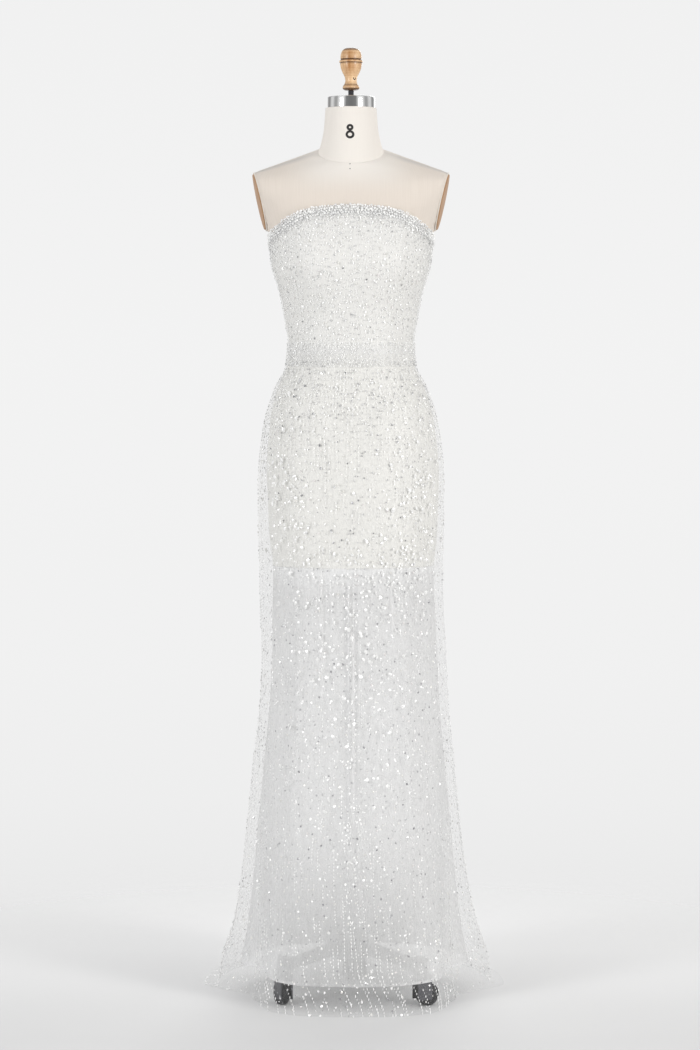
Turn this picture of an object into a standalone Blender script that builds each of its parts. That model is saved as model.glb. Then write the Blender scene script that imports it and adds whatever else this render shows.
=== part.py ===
# A strapless mermaid prom dress worn by a limbless dress form on a castored stand.
# Metres, +Z up, the front faces -Y, the wearer's left is +X, and the floor is z = 0.
# Angles go round the stand's axis from the centre front, plus towards the wearer's left.
import bpy
import numpy as np

STAND_Y = -0.146          # the stand's axis, behind the middle of the part's depth
SEAM_GAP = 0.0003         # between two pieces that meet
FLARE_FOOT = 0.055        # below this height the skirt drops to the floor or spreads on it
LINING_HEM = 0.812
UNDERSKIRT_HEM = 0.050
HANG_SHIFT = 0.006
TORSO_FOOT = 0.862
BODICE_FOOT = 1.2045
SKIRT_TOP = 1.2035
BAND_TOP = 1.228
TRIM_HEIGHT = 0.022
NECK_FOOT = 1.5795
NECK_TOP = 1.6647
NECK_TILT = 0.022         # the neck's joint is this much higher behind and lower in front

# How far each layer's inside and outside lie from the form, in metres.
LAYERS = {
    "lining": (0.0015, 0.0025),
    "bodice": (0.0030, 0.0040),
    "skirt": (0.0033, 0.0045),
    "trim": (0.0044, 0.0064),
    "band": (0.0048, 0.0066),
}

# Sections of the worn dress and of the form in it: height, half width, depth to the front,
# depth to the back and the power of the superellipse (2 is an ellipse, more is squarer).
SECTIONS = np.array([
    (0.000, 0.1680, 0.120, 0.145, 2.00),
    (0.480, 0.1660, 0.119, 0.140, 2.00),
    (0.580, 0.1650, 0.118, 0.137, 2.05),
    (0.680, 0.1645, 0.118, 0.136, 2.10),
    (0.780, 0.1650, 0.119, 0.136, 2.10),
    (0.874, 0.1690, 0.120, 0.136, 2.12),
    (0.971, 0.1690, 0.118, 0.130, 2.15),
    (1.070, 0.1590, 0.112, 0.118, 2.15),
    (1.136, 0.1395, 0.104, 0.099, 2.10),
    (1.186, 0.1160, 0.098, 0.088, 2.05),
    (1.220, 0.1130, 0.098, 0.088, 2.05),
    (1.267, 0.1195, 0.102, 0.091, 2.05),
    (1.317, 0.1290, 0.106, 0.097, 2.10),
    (1.383, 0.1460, 0.107, 0.104, 2.15),
    (1.422, 0.1480, 0.102, 0.106, 2.20),
    (1.470, 0.1660, 0.091, 0.104, 2.40),
    (1.515, 0.1880, 0.076, 0.090, 2.60),
    (1.532, 0.1900, 0.069, 0.080, 2.50),
    (1.541, 0.1800, 0.066, 0.074, 2.35),
    (1.550, 0.1530, 0.064, 0.069, 2.20),
    (1.562, 0.1210, 0.061, 0.064, 2.10),
    (1.573, 0.0880, 0.058, 0.060, 2.00),
    (1.5795, 0.0610, 0.056, 0.056, 2.00),
])

# How much of the way the skirt has gone from its column to its hem: height, share.
FLARE = np.array([
    (0.055, 1.00),
    (0.126, 0.75),
    (0.238, 0.53),
    (0.360, 0.37),
    (0.472, 0.23),
    (0.547, 0.13),
    (0.640, 0.05),
    (0.780, 0.00),
])

# Where the skirt meets the floor, in plan: angle, x, y. The front hangs straight and the
# back sweeps out behind it.
HEM = np.array([
    (0.0, 0.000, -0.182),
    (30.0, 0.098, -0.168),
    (52.0, 0.150, -0.127),
    (62.0, 0.166, -0.090),
    (72.0, 0.172, -0.045),
    (84.0, 0.179, 0.015),
    (98.0, 0.229, 0.075),
    (106.0, 0.245, 0.105),
    (120.0, 0.236, 0.175),
    (140.0, 0.198, 0.265),
    (160.0, 0.108, 0.330),
    (180.0, 0.000, 0.350),
])

# How the hem lies: angle, reach over the floor, and the share of the drop that is in the air.
SPREAD = np.array([
    (0.0, 0.000, 1.00),
    (60.0, 0.000, 1.00),
    (80.0, 0.012, 0.90),
    (100.0, 0.036, 0.62),
    (130.0, 0.062, 0.50),
    (180.0, 0.130, 0.50),
])

# The largest folds: angle, half width, height in metres at the hem, and where each starts.
FOLDS = [
    (-162.0, 12.0, 0.011, 0.62),
    (-138.0, 11.0, 0.014, 0.70),
    (-117.0, 10.0, 0.010, 0.58),
    (-98.0, 9.0, 0.012, 0.66),
    (-77.0, 8.0, 0.005, 0.50),
    (-50.0, 9.0, 0.004, 0.46),
    (-12.0, 8.0, 0.003, 0.38),
    (16.0, 8.0, 0.003, 0.44),
    (46.0, 9.0, 0.004, 0.40),
    (75.0, 8.0, 0.006, 0.54),
    (96.0, 9.0, 0.010, 0.60),
    (115.0, 10.0, 0.013, 0.68),
    (137.0, 11.0, 0.010, 0.56),
    (160.0, 12.0, 0.013, 0.72),
    (180.0, 9.0, 0.008, 0.50),
]

# How far the hips, the lining and the underskirt stand in from the skirt's sides: height,
# right, left.
HIP_EASE = np.array([
    (0.300, 0.000, 0.000),
    (0.500, 0.006, 0.004),
    (0.700, 0.016, 0.010),
    (0.812, 0.022, 0.013),
    (0.874, 0.018, 0.010),
    (0.971, 0.014, 0.007),
    (1.070, 0.009, 0.005),
    (1.136, 0.003, 0.002),
    (1.170, 0.000, 0.000),
])

# The dress's upper edge: angle, height.
NECKLINE = np.array([
    (0.0, 1.4780),
    (22.0, 1.4714),
    (39.0, 1.4594),
    (61.0, 1.4405),
    (90.0, 1.4235),
    (120.0, 1.4110),
    (180.0, 1.4000),
])

# Where the seam between the front and side-front panels runs: height, angle.
PRINCESS = np.array([
    (0.000, 22.0),
    (0.971, 22.0),
    (1.136, 27.0),
    (1.220, 32.0),
    (1.375, 35.0),
    (1.580, 35.0),
])

BODY_ROWS = [0.862, 0.93, 0.99, 1.045, 1.095, 1.14, 1.18, 1.204, 1.228]
SKIRT_ROWS = [0.055, 0.12, 0.20, 0.30, 0.41, 0.53, 0.65, 0.77]
FLOOR_ROWS = [0.0, 0.011, 0.025, 0.040]
BODICE_SHARES = [0.22, 0.42, 0.60, 0.80, 1.0]
SHOULDER_ROWS = [1.532, 1.541, 1.550, 1.562, 1.573, NECK_FOOT]

BUST = {"x": 0.080, "z": 1.372, "height": 0.026, "width": 0.056, "tall": 0.062, "bridge": 0.55}
ARM_PLATE = {"x": 0.156, "z": 1.432, "lean": 0.222, "foot": 1.437, "top": 1.540,
             "half_depth": 0.046, "thickness": 0.004}


def smooth(table, column, at):
    # A curve through a table's rows that turns only where the rows do.
    at = np.asarray(at, float)
    known, values = table[:, 0], table[:, column]
    steps = np.diff(known)
    slopes = np.diff(values) / steps
    bends = np.empty(len(known))
    bends[0], bends[-1] = slopes[0], slopes[-1]
    for i in range(1, len(known) - 1):
        before, after = slopes[i - 1], slopes[i]
        if before * after <= 0.0:
            bends[i] = 0.0
            continue
        near, far = 2 * steps[i] + steps[i - 1], steps[i] + 2 * steps[i - 1]
        bends[i] = (near + far) / (near / before + far / after)
    clipped = np.clip(at, known[0], known[-1])
    i = np.clip(np.searchsorted(known, clipped, side="right") - 1, 0, len(steps) - 1)
    u = (clipped - known[i]) / steps[i]
    return ((1 + 2 * u) * (1 - u) ** 2 * values[i] + u * (1 - u) ** 2 * steps[i] * bends[i]
            + u * u * (3 - 2 * u) * values[i + 1] + u * u * (u - 1) * steps[i] * bends[i + 1])


def eased(u):
    u = np.clip(u, 0.0, 1.0)
    return u * u * (3 - 2 * u)


def signed_power(value, power):
    return np.sign(value) * np.abs(value) ** power


def column_at(angle, height):
    # A point of the plain section at an angle in degrees, as three arrays. Below the hips the
    # skirt hangs a little to the wearer's left.
    turn = np.radians(angle)
    sine, cosine = np.sin(turn), np.cos(turn)
    power = 2 / smooth(SECTIONS, 4, height)
    depth = np.where(cosine > 0, smooth(SECTIONS, 2, height), smooth(SECTIONS, 3, height))
    x = smooth(SECTIONS, 1, height) * signed_power(sine, power)
    x = x + HANG_SHIFT * eased((0.80 - height) / 0.20)
    y = -depth * signed_power(cosine, power)
    return x, y, np.asarray(height, float) + 0 * x


def bust_depth(x, z, angle, bridge):
    # How far the cups stand out. A dress spans the dip between them by the bridge's share.
    rise = np.exp(-((z - BUST["z"]) / BUST["tall"]) ** 2)
    left = np.exp(-((x - BUST["x"]) / BUST["width"]) ** 2)
    right = np.exp(-((x + BUST["x"]) / BUST["width"]) ** 2)
    cups = np.maximum(left, right)
    between = np.where(np.abs(x) < BUST["x"], cups + bridge * (1 - cups), cups)
    return BUST["height"] * rise * between * eased(np.cos(np.radians(angle)) * 2.2)


def dress_base(angle, height):
    # The surface that every layer of the dress is measured from, above the skirt's flare.
    x, y, z = column_at(angle, height)
    return np.stack([x, y - bust_depth(x, z, angle, BUST["bridge"]), z], axis=-1)


def drawn_in_x(x, angle, height):
    sine = np.sin(np.radians(angle))
    ease = np.where(sine > 0, smooth(HIP_EASE, 2, height), smooth(HIP_EASE, 1, height))
    return x - np.sign(sine) * ease * sine ** 2


def lining_base(angle, height):
    base = dress_base(angle, height)
    x = drawn_in_x(base[..., 0], angle, height)
    return np.concatenate([x[..., None], base[..., 1:]], axis=-1)


def torso_base(angle, height):
    x, y, z = column_at(angle, height)
    x = drawn_in_x(x, angle, height)
    y = y - bust_depth(x, z, angle, 0.0)
    below = np.clip((0.971 - z) / 0.109, 0.0, 1.0) ** 1.5
    reach = np.hypot(x, y)
    x, y = x * (1 - 0.012 * below / reach), y * (1 - 0.012 * below / reach)
    side = ARM_PLATE["x"] + (z - ARM_PLATE["z"]) * ARM_PLATE["lean"]
    plated = (z > ARM_PLATE["foot"] - 0.02) & (z < ARM_PLATE["top"] + 0.002)
    x = np.where(plated, np.clip(x, -side, side), x)
    tilt = eased((z - 1.541) / (NECK_FOOT - 1.541)) * NECK_TILT
    return np.stack([x, y, z + tilt * y / 0.056], axis=-1)


def hem_plan(angle):
    wrapped = (angle + 180.0) % 360.0 - 180.0
    turn = np.abs(wrapped)
    return np.sign(wrapped) * smooth(HEM, 1, turn), smooth(HEM, 2, turn)


def flared(angle, height, share):
    # The column blended into the hem's plan by a share of the whole flare.
    x, y, z = column_at(angle, height)
    to_x, to_y = hem_plan(angle)
    to_x = to_x + HANG_SHIFT
    blend = smooth(FLARE, 1, height) * share
    return np.stack([x + (to_x - x) * blend, y + (to_y - y) * blend, z], axis=-1)


def skirt_base(angle, height):
    # Above the flare's foot it hangs, and below it runs down and out over the floor.
    hung = flared(angle, np.maximum(height, FLARE_FOOT), 1.0)
    down = np.clip((FLARE_FOOT - height) / FLARE_FOOT, 0.0, 1.0)
    reach = smooth(SPREAD, 1, np.abs(angle)) * down ** 1.1
    in_air = smooth(SPREAD, 2, np.abs(angle))
    power = 1 + 2 * (1 - in_air)
    left = np.clip(1 - down / in_air, 0.0, 1.0) ** power
    outward = hung[..., :2] - np.array([0.0, 0.05])
    outward = outward / np.linalg.norm(outward, axis=-1, keepdims=True)
    plan = hung[..., :2] + outward * reach[..., None]
    z = np.where(height > FLARE_FOOT, hung[..., 2], FLARE_FOOT * left)
    return np.concatenate([plan, z[..., None]], axis=-1)


def underskirt_base(angle, height):
    base = flared(angle, height, 0.70)
    x = drawn_in_x(base[..., 0], angle, height)
    return np.concatenate([x[..., None], base[..., 1:]], axis=-1)


def lying_share(angle, height):
    # 1 where the cloth lies flat on the floor, and 0 where it hangs.
    in_air = smooth(SPREAD, 2, np.abs(angle))
    return eased((FLARE_FOOT - height) / FLARE_FOOT / in_air) * eased((1 - in_air) / 0.2)


def fold_height(angle, height):
    total = np.zeros(np.broadcast(angle, height).shape)
    for middle, half_width, tall, top in FOLDS:
        away = np.abs((angle - middle + 180.0) % 360.0 - 180.0)
        across = np.where(away < half_width, np.cos(np.radians(90 * away / half_width)) ** 2, 0.0)
        total = total + tall * across * np.clip((top - height) / top, 0.0, 1.0) ** 1.2
    return total * (1 - lying_share(angle, height))


def normals(surface, angle, height):
    small_turn, small_rise = 0.25, 0.0005
    across = surface(angle + small_turn, height) - surface(angle - small_turn, height)
    up = surface(angle, height + small_rise) - surface(angle, height - small_rise)
    square = np.cross(across, up)
    return square / np.linalg.norm(square, axis=-1, keepdims=True)


def columns(height, first, last, splits=1):
    # Angles of the columns from one numbered column to another. 0 is the centre front, 3 the
    # princess seam, 9 the side seam and 17 the centre back, and minus numbers are on the right.
    seam = smooth(PRINCESS, 1, height)[..., None]
    number = np.arange(first * splits, last * splits + 1) / splits
    side = np.sign(number)
    n = np.abs(number)
    front = seam * n / 3
    middle = seam + (90 - seam) * (n - 3) / 6
    back = 90 + 90 * (n - 9) / 8
    return side * np.where(n <= 3, front, np.where(n <= 9, middle, back))


def neckline(angle):
    return smooth(NECKLINE, 1, np.abs(angle))


# Building

materials = {}


def material(name, colour, roughness, metallic=0.0):
    made = bpy.data.materials.new(name)
    made.use_nodes = True
    shader = made.node_tree.nodes["Principled BSDF"]
    shader.inputs["Base Color"].default_value = (*colour, 1.0)
    shader.inputs["Roughness"].default_value = roughness
    shader.inputs["Metallic"].default_value = metallic
    made.diffuse_color = (*colour, 1.0)
    materials[name] = made


def add_object(name, points, faces, slot, origin=(0.0, 0.0, 0.0)):
    mesh = bpy.data.meshes.new(name)
    mesh.from_pydata([tuple(p) for p in np.asarray(points) - np.array(origin)], [], faces)
    mesh.materials.append(materials[slot])
    mesh.validate()
    placed = bpy.data.objects.new(name, mesh)
    placed.location = (origin[0], origin[1] + STAND_Y, origin[2])
    bpy.context.scene.collection.objects.link(placed)
    return placed


def wall(name, inside, outside, slot):
    # A closed wall between two grids of points, rows upwards and columns to the wearer's left.
    rows, cols = inside.shape[:2]
    points = np.concatenate([outside.reshape(-1, 3), inside.reshape(-1, 3)])
    under = rows * cols
    faces = []
    for r in range(rows - 1):
        for c in range(cols - 1):
            a, b = r * cols + c, r * cols + c + 1
            d, e = a + cols, b + cols
            faces += [(a, b, e), (a, e, d)]
            faces += [(under + a, under + e, under + b), (under + a, under + d, under + e)]
    foot, top = range(cols - 1), range((rows - 1) * cols, rows * cols - 1)
    left, right = range(cols - 1, (rows - 1) * cols, cols), range(0, (rows - 1) * cols, cols)
    for a in foot:
        faces += [(a, under + a, under + a + 1), (a, under + a + 1, a + 1)]
    for a in top:
        faces += [(a + 1, under + a + 1, under + a), (a + 1, under + a, a)]
    for a in left:
        b = a + cols
        faces += [(a, under + a, under + b), (a, under + b, b)]
    for a in right:
        b = a + cols
        faces += [(a, under + b, under + a), (a, b, under + b)]
    return add_object(name, points, faces, slot)


def narrowed(grid, surface, angle, height):
    # Draws the two side edges in by half a seam's gap, square to the seam.
    drawn = grid.copy()
    for edge, way in ((0, 1), (-1, -1)):
        at = angle[:, edge]
        along = surface(at + 0.25, height[:, edge]) - surface(at - 0.25, height[:, edge])
        along = along / np.linalg.norm(along, axis=-1, keepdims=True)
        drawn[:, edge] += along * way * SEAM_GAP / 2
    return drawn


def layer_wall(name, surface, angle, height, offsets, slot, extra=None):
    base, out = surface(angle, height), normals(surface, angle, height)
    extra = np.zeros(angle.shape) if extra is None else extra
    inside = base + out * (offsets[0] + extra)[..., None]
    outside = base + out * (offsets[1] + extra)[..., None]
    return wall(name, narrowed(inside, surface, angle, height),
                narrowed(outside, surface, angle, height), slot)


def body_grid(rows, first, last, splits=1):
    # Heights and angles where some rows follow the neckline. Each row is a height, or a share
    # of the way from the waist band's top to the trim's foot, or a drop below the neckline.
    angle_rows, height_rows = [], []
    guide = columns(np.array(1.375), first, last, splits)
    top = neckline(guide)
    for kind, value in rows:
        if kind == "height":
            height = np.full(guide.shape, value)
        elif kind == "share":
            height = BAND_TOP + (top - TRIM_HEIGHT - BAND_TOP) * value
        elif kind == "top":
            height = top - value
        else:
            height = top + (1.515 - top) * value
        angle = np.array([columns(h, first, last, splits)[i] for i, h in enumerate(height)])
        angle_rows.append(angle)
        height_rows.append(height)
    return np.array(angle_rows), np.array(height_rows)


def panels(stem, slot, splits_at, build):
    for side, sign in (("left", 1), ("right", -1)):
        for part, (first, last) in splits_at.items():
            ends = (first, last) if sign > 0 else (-last, -first)
            build(f"{stem}_{part}{side}", ends, slot)


def turned(name, profile, slot, centre, sides=24, axis=(0.0, 0.0, 1.0), start=0.0,
           origin=None):
    # A turned piece: rows of (along the axis, radius). It closes on the axis where a radius is
    # 0, and a profile that never meets the axis closes on itself, as a wheel's does.
    axis = np.array(axis, float)
    level = np.cross(axis, (0.0, 0.0, 1.0))
    first = np.array([1.0, 0.0, 0.0]) if np.linalg.norm(level) < 1e-6 else level
    first = first / np.linalg.norm(first)
    second = np.cross(axis, first)
    points, rings = [], []
    for along, radius in profile:
        if radius == 0.0:
            rings.append([len(points)])
            points.append(np.array(centre) + axis * along)
            continue
        ring = []
        for i in range(sides):
            turn = start + 2 * np.pi * i / sides
            ring.append(len(points))
            points.append(np.array(centre) + axis * along
                          + (first * np.cos(turn) + second * np.sin(turn)) * radius)
        rings.append(ring)
    faces = []
    pairs = list(zip(rings, rings[1:]))
    if len(rings[0]) > 1:
        pairs.append((rings[-1], rings[0]))
    for low, high in pairs:
        for i in range(sides):
            k = (i + 1) % sides
            if len(low) == 1:
                faces.append((low[0], high[k], high[i]))
            elif len(high) == 1:
                faces.append((low[i], low[k], high[0]))
            else:
                faces += [(low[i], low[k], high[k]), (low[i], high[k], high[i])]
    return add_object(name, points, faces, slot, origin or (0.0, 0.0, 0.0))


def extruded(name, outline, lengths, slot, centre, across, along, up, origin=None, hole=None):
    # An outline of (across, up) points, counter-clockwise seen from along's far end, drawn out
    # along a direction. A hole has as many points as the outline and makes a ring of it.
    across, along, up = (np.array(v, float) for v in (across, along, up))
    loops = [outline] if hole is None else [outline, hole]
    points = []
    for length in lengths:
        for loop in loops:
            for u, v in loop:
                points.append(np.array(centre) + across * u + up * v + along * length)
    n = len(outline)
    step = n * len(loops)
    faces = []
    for i in range(n):
        k = (i + 1) % n
        faces.append((i, k, step + k, step + i))
        if hole is not None:
            faces.append((n + k, n + i, step + n + i, step + n + k))
            faces.append((i, n + i, n + k, k))
            faces.append((step + k, step + n + k, step + n + i, step + i))
    if hole is None:
        faces.append(tuple(range(n))[::-1])
        faces.append(tuple(range(step, step + n)))
    return add_object(name, points, faces, slot, origin or (0.0, 0.0, 0.0))


def bar(name, start, end, start_size, end_size, slot, sides=12):
    # A round-cornered bar between two points: sizes are its half width and half height.
    start, end = np.array(start), np.array(end)
    along = (end - start) / np.linalg.norm(end - start)
    level = np.cross((0.0, 0.0, 1.0), along)
    level = level / np.linalg.norm(level)
    up = np.cross(along, level)
    points = []
    for place, (wide, tall) in ((start, start_size), (end, end_size)):
        for i in range(sides):
            turn = 2 * np.pi * (i + 0.5) / sides
            u, v = signed_power(np.cos(turn), 0.55), signed_power(np.sin(turn), 0.55)
            points.append(place + level * u * wide + up * v * tall)
    faces = [(i, (i + 1) % sides, sides + (i + 1) % sides, sides + i) for i in range(sides)]
    faces.append(tuple(range(sides))[::-1])
    faces.append(tuple(range(sides, 2 * sides)))
    return add_object(name, points, faces, slot)


for old in list(bpy.data.objects):
    bpy.data.objects.remove(old, do_unlink=True)

material("beaded_net", (0.86, 0.87, 0.88), 0.45)
material("bead_trim", (0.78, 0.80, 0.83), 0.30, 0.2)
material("lining_ivory", (0.86, 0.84, 0.78), 0.60)
material("plain_net", (0.84, 0.85, 0.86), 0.60)
material("form_linen", (0.73, 0.67, 0.60), 0.85)
material("neck_cream", (0.90, 0.87, 0.80), 0.60)
material("chrome", (0.80, 0.80, 0.82), 0.12, 1.0)
material("knob_wood", (0.62, 0.42, 0.24), 0.45)
material("plate_tan", (0.40, 0.20, 0.09), 0.50)
material("dark_metal", (0.10, 0.10, 0.11), 0.45, 0.8)
material("base_iron", (0.34, 0.34, 0.345), 0.55)
material("wheel_rubber", (0.03, 0.03, 0.032), 0.70)
material("zip_metal", (0.72, 0.73, 0.75), 0.25, 1.0)

# The dress form's torso, whose rows follow the dress's own.

TORSO_ROWS = ([("height", z) for z in BODY_ROWS]
              + [("share", s) for s in BODICE_SHARES] + [("top", 0.0)]
              + [("above", s) for s in (0.34, 0.67, 1.0)]
              + [("height", z) for z in SHOULDER_ROWS])


def build_torso():
    # Under the dress it is padded out until the lining rests on it.
    angle, height = body_grid(TORSO_ROWS, -17, 17)
    padding = (LAYERS["lining"][0] - 0.0004) * eased((1.44 - height) / 0.04)
    grid = torso_base(angle, height) + normals(torso_base, angle, height) * padding[..., None]
    grid = grid[:, :-1]
    rows, cols = grid.shape[:2]
    points = list(grid.reshape(-1, 3))
    faces = []
    for r in range(rows - 1):
        for c in range(cols):
            a, b = r * cols + c, r * cols + (c + 1) % cols
            faces += [(a, b, b + cols), (a, b + cols, a + cols)]
    for row, outward in ((0, -1), (rows - 1, 1)):
        ring = [row * cols + c for c in range(cols)]
        middle = len(points)
        points.append(grid[row].mean(axis=0))
        for i, a in enumerate(ring):
            b = ring[(i + 1) % cols]
            faces.append((middle, a, b) if outward > 0 else (middle, b, a))
    add_object("form_torso", points, faces, "form_linen")


def build_neck():
    radii = np.array([(0.0, 0.0606), (0.25, 0.0548), (0.5, 0.0508), (1.0, 0.0475)])
    sides = 28
    points = []
    shares = [0.0, 0.12, 0.25, 0.5, 1.0]
    for share in shares:
        radius = smooth(radii, 1, share)
        for i in range(sides):
            turn = 2 * np.pi * i / sides
            x, y = radius * np.sin(turn), -radius * np.cos(turn) * (0.925 + 0.075 * share)
            foot = NECK_FOOT + SEAM_GAP + NECK_TILT * y / 0.056
            points.append((x, y, foot + (NECK_TOP - foot) * share))
    faces = []
    for r in range(len(shares) - 1):
        for c in range(sides):
            a, b = r * sides + c, r * sides + (c + 1) % sides
            faces += [(a, b, b + sides), (a, b + sides, a + sides)]
    foot_middle, top_middle = len(points), len(points) + 1
    points += [(0.0, 0.0, NECK_FOOT + SEAM_GAP), (0.0, 0.0, NECK_TOP)]
    for i in range(sides):
        k = (i + 1) % sides
        faces.append((foot_middle, k, i))
        faces.append((top_middle, (len(shares) - 1) * sides + i, (len(shares) - 1) * sides + k))
    add_object("form_neck", points, faces, "neck_cream")


def build_arm_plates():
    # Oval boards on the flat ends of the shoulders, square to the leaning plane.
    lean = np.array([1.0, 0.0, -ARM_PLATE["lean"]])
    lean = lean / np.linalg.norm(lean)
    up = np.array([lean[2] * -1, 0.0, lean[0]])
    middle_z = (ARM_PLATE["foot"] + ARM_PLATE["top"]) / 2
    middle_x = ARM_PLATE["x"] + (middle_z - ARM_PLATE["z"]) * ARM_PLATE["lean"]
    tall = (ARM_PLATE["top"] - ARM_PLATE["foot"]) / 2 / up[2]
    outline = []
    for i in range(28):
        turn = 2 * np.pi * i / 28
        narrow = 1 - 0.16 * max(0.0, np.sin(turn))
        outline.append((ARM_PLATE["half_depth"] * narrow * np.cos(turn), tall * np.sin(turn)))
    for side, sign in (("left", 1), ("right", -1)):
        flip = np.array([sign, 1.0, 1.0])
        centre = np.array([middle_x, 0.006, middle_z]) * flip + lean * flip * SEAM_GAP
        across = np.array([0.0, sign, 0.0])
        extruded(f"arm_plate_{side}", outline, (0.0, ARM_PLATE["thickness"]), "plate_tan",
                 centre, across, lean * flip, up * flip)


build_torso()
build_neck()
build_arm_plates()

turned("neck_cap", [(1.6650, 0.0), (1.6650, 0.0440), (1.6864, 0.0440), (1.6873, 0.0430),
                    (1.6875, 0.0)], "chrome", (0.0, 0.0, 0.0), 32)
turned("knob_stem", [(1.6878, 0.0), (1.6878, 0.0055), (1.6944, 0.0055), (1.6944, 0.0)],
       "dark_metal", (0.0, 0.0, 0.0), 16)

# Height above the knob's foot and radius: flange, waist, bulb, turned ring, groove, crown.
KNOB = [(0.0, 0.0), (0.0, 0.0080), (0.0012, 0.0125), (0.0030, 0.0150), (0.0048, 0.0157),
        (0.0095, 0.0144), (0.0135, 0.0118), (0.0180, 0.0107), (0.0240, 0.0114),
        (0.0290, 0.0136), (0.0345, 0.0164), (0.0420, 0.0190), (0.0510, 0.0204),
        (0.0522, 0.0222), (0.0586, 0.0211), (0.0598, 0.0195), (0.0616, 0.0197),
        (0.0675, 0.0191), (0.0730, 0.0170), (0.0768, 0.0138), (0.0786, 0.0100),
        (0.0790, 0.0)]
turned("knob", [(1.6947 + z, r) for z, r in KNOB], "knob_wood", (0.0, 0.0, 0.0), 20)

# The stand: a pole, a hub with three legs, and casters that swivel.

turned("pole_collar", [(0.8500, 0.0), (0.8500, 0.024), (0.8540, 0.038), (0.8617, 0.038),
                       (0.8617, 0.0)], "dark_metal", (0.0, 0.0, 0.0), 20)
turned("pole", [(0.1303, 0.0), (0.1303, 0.0125), (0.8497, 0.0125), (0.8497, 0.0)],
       "chrome", (0.0, 0.0, 0.0), 16)
turned("base_hub", [(0.070, 0.0), (0.070, 0.024), (0.076, 0.030), (0.112, 0.030),
                    (0.124, 0.021), (0.130, 0.019), (0.130, 0.0)],
       "base_iron", (0.0, 0.0, 0.0), 20)

# Each caster: where its stem stands, and the way its wheel trails.
CASTERS = [
    ((-0.1228, -0.0780), (-0.42, 0.9075)),
    ((0.128, -0.080), (0.90, 0.4359)),
    ((0.0, 0.160), (0.76, 0.6499)),
]
TRAIL = 0.014
WHEEL_RADIUS = 0.021
WHEEL_SIDES = 20
BOSS_FOOT = 0.058

for index, (place, trail) in enumerate(CASTERS, 1):
    x, y = place
    away = np.array([x, y]) / np.hypot(x, y)
    leg_start = (*(away * 0.0330), 0.096)
    leg_end = (x - away[0] * 0.0166, y - away[1] * 0.0166, 0.076)
    bar(f"base_leg_{index}", leg_start, leg_end, (0.0095, 0.0130), (0.0080, 0.0105), "base_iron")
    turned(f"caster_boss_{index}",
           [(0.0785, 0.0), (0.0785, 0.0047), (BOSS_FOOT, 0.0047), (BOSS_FOOT, 0.0140),
            (0.0880, 0.0140), (0.0905, 0.0115), (0.0905, 0.0)],
           "base_iron", (x, y, 0.0), 16)
    swivel = (x, y, BOSS_FOOT)
    turned(f"caster_stem_{index}",
           [(BOSS_FOOT, 0.0), (BOSS_FOOT, 0.0040), (0.0760, 0.0040), (0.0760, 0.0)],
           "dark_metal", (x, y, 0.0), 16, origin=swivel)
    back = np.array([trail[0], trail[1], 0.0])
    back = back / np.linalg.norm(back)
    axle = np.cross(back, (0.0, 0.0, 1.0))
    fork = [(-0.0125, 0.012), (-0.0102, 0.012), (-0.0102, 0.0527), (0.0102, 0.0527),
            (0.0102, 0.012), (0.0125, 0.012), (0.0125, 0.0577), (-0.0125, 0.0577)]
    extruded(f"caster_fork_{index}", fork, (-0.010, 0.0185), "dark_metal",
             (x, y, 0.0), -axle, back, (0.0, 0.0, 1.0), origin=swivel)
    hub = np.array([x, y, WHEEL_RADIUS]) + back * TRAIL
    turned(f"caster_axle_{index}", [(-0.0099, 0.0), (-0.0099, 0.0030), (0.0099, 0.0030),
                                    (0.0099, 0.0)], "dark_metal", hub, 12, axis=axle,
           origin=swivel)
    outer = WHEEL_RADIUS / np.cos(np.pi / WHEEL_SIDES)
    turned(f"caster_wheel_{index}",
           [(-0.0090, 0.0034), (-0.0090, outer - 0.003), (-0.0070, outer), (0.0070, outer),
            (0.0090, outer - 0.003), (0.0090, 0.0034)],
           "wheel_rubber", hub, WHEEL_SIDES, axis=axle, start=np.pi / WHEEL_SIDES,
           origin=tuple(hub))

# The dress, from the form outwards.

GORES = {"front_": (0, 3), "side_": (3, 9), "back_": (9, 17)}


def build_lining(name, ends, slot):
    rows = ([("height", LINING_HEM), ("height", 0.862)] + [("height", z) for z in BODY_ROWS[1:]]
            + [("share", s) for s in BODICE_SHARES] + [("top", 0.002)])
    angle, height = body_grid(rows, *ends)
    layer_wall(name, lining_base, angle, height, LAYERS["lining"], slot)


def build_underskirt(name, ends, slot):
    heights = np.array([UNDERSKIRT_HEM, 0.12, 0.23, 0.36, 0.53, 0.65, 0.77,
                        LINING_HEM - SEAM_GAP])
    angle = columns(heights, *ends)
    height = heights[:, None] + 0 * angle
    drop = (LINING_HEM - height) / (LINING_HEM - UNDERSKIRT_HEM)
    drawn_in = -0.006 * eased(drop * 2.2)
    layer_wall(name, underskirt_base, angle, height, LAYERS["lining"], slot, drawn_in)


panels("lining", "lining_ivory", GORES, build_lining)
panels("underskirt", "plain_net", GORES, build_underskirt)


def build_bodice(name, ends):
    rows = ([("height", BODICE_FOOT), ("height", BAND_TOP)]
            + [("share", s) for s in BODICE_SHARES] + [("top", 0.0)])
    angle, height = body_grid(rows, *ends)
    layer_wall(name, dress_base, angle, height, LAYERS["bodice"], "beaded_net")


def build_trim(name, ends):
    angle, height = body_grid([("top", TRIM_HEIGHT), ("top", -0.0005)], *ends)
    layer_wall(name, dress_base, angle, height, LAYERS["trim"], "bead_trim")


def build_band(name, ends):
    rows = [("height", 1.18), ("height", 1.204), ("height", BAND_TOP)]
    angle, height = body_grid(rows, *ends, splits=2)
    layer_wall(name, dress_base, angle, height, LAYERS["band"], "bead_trim")


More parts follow.
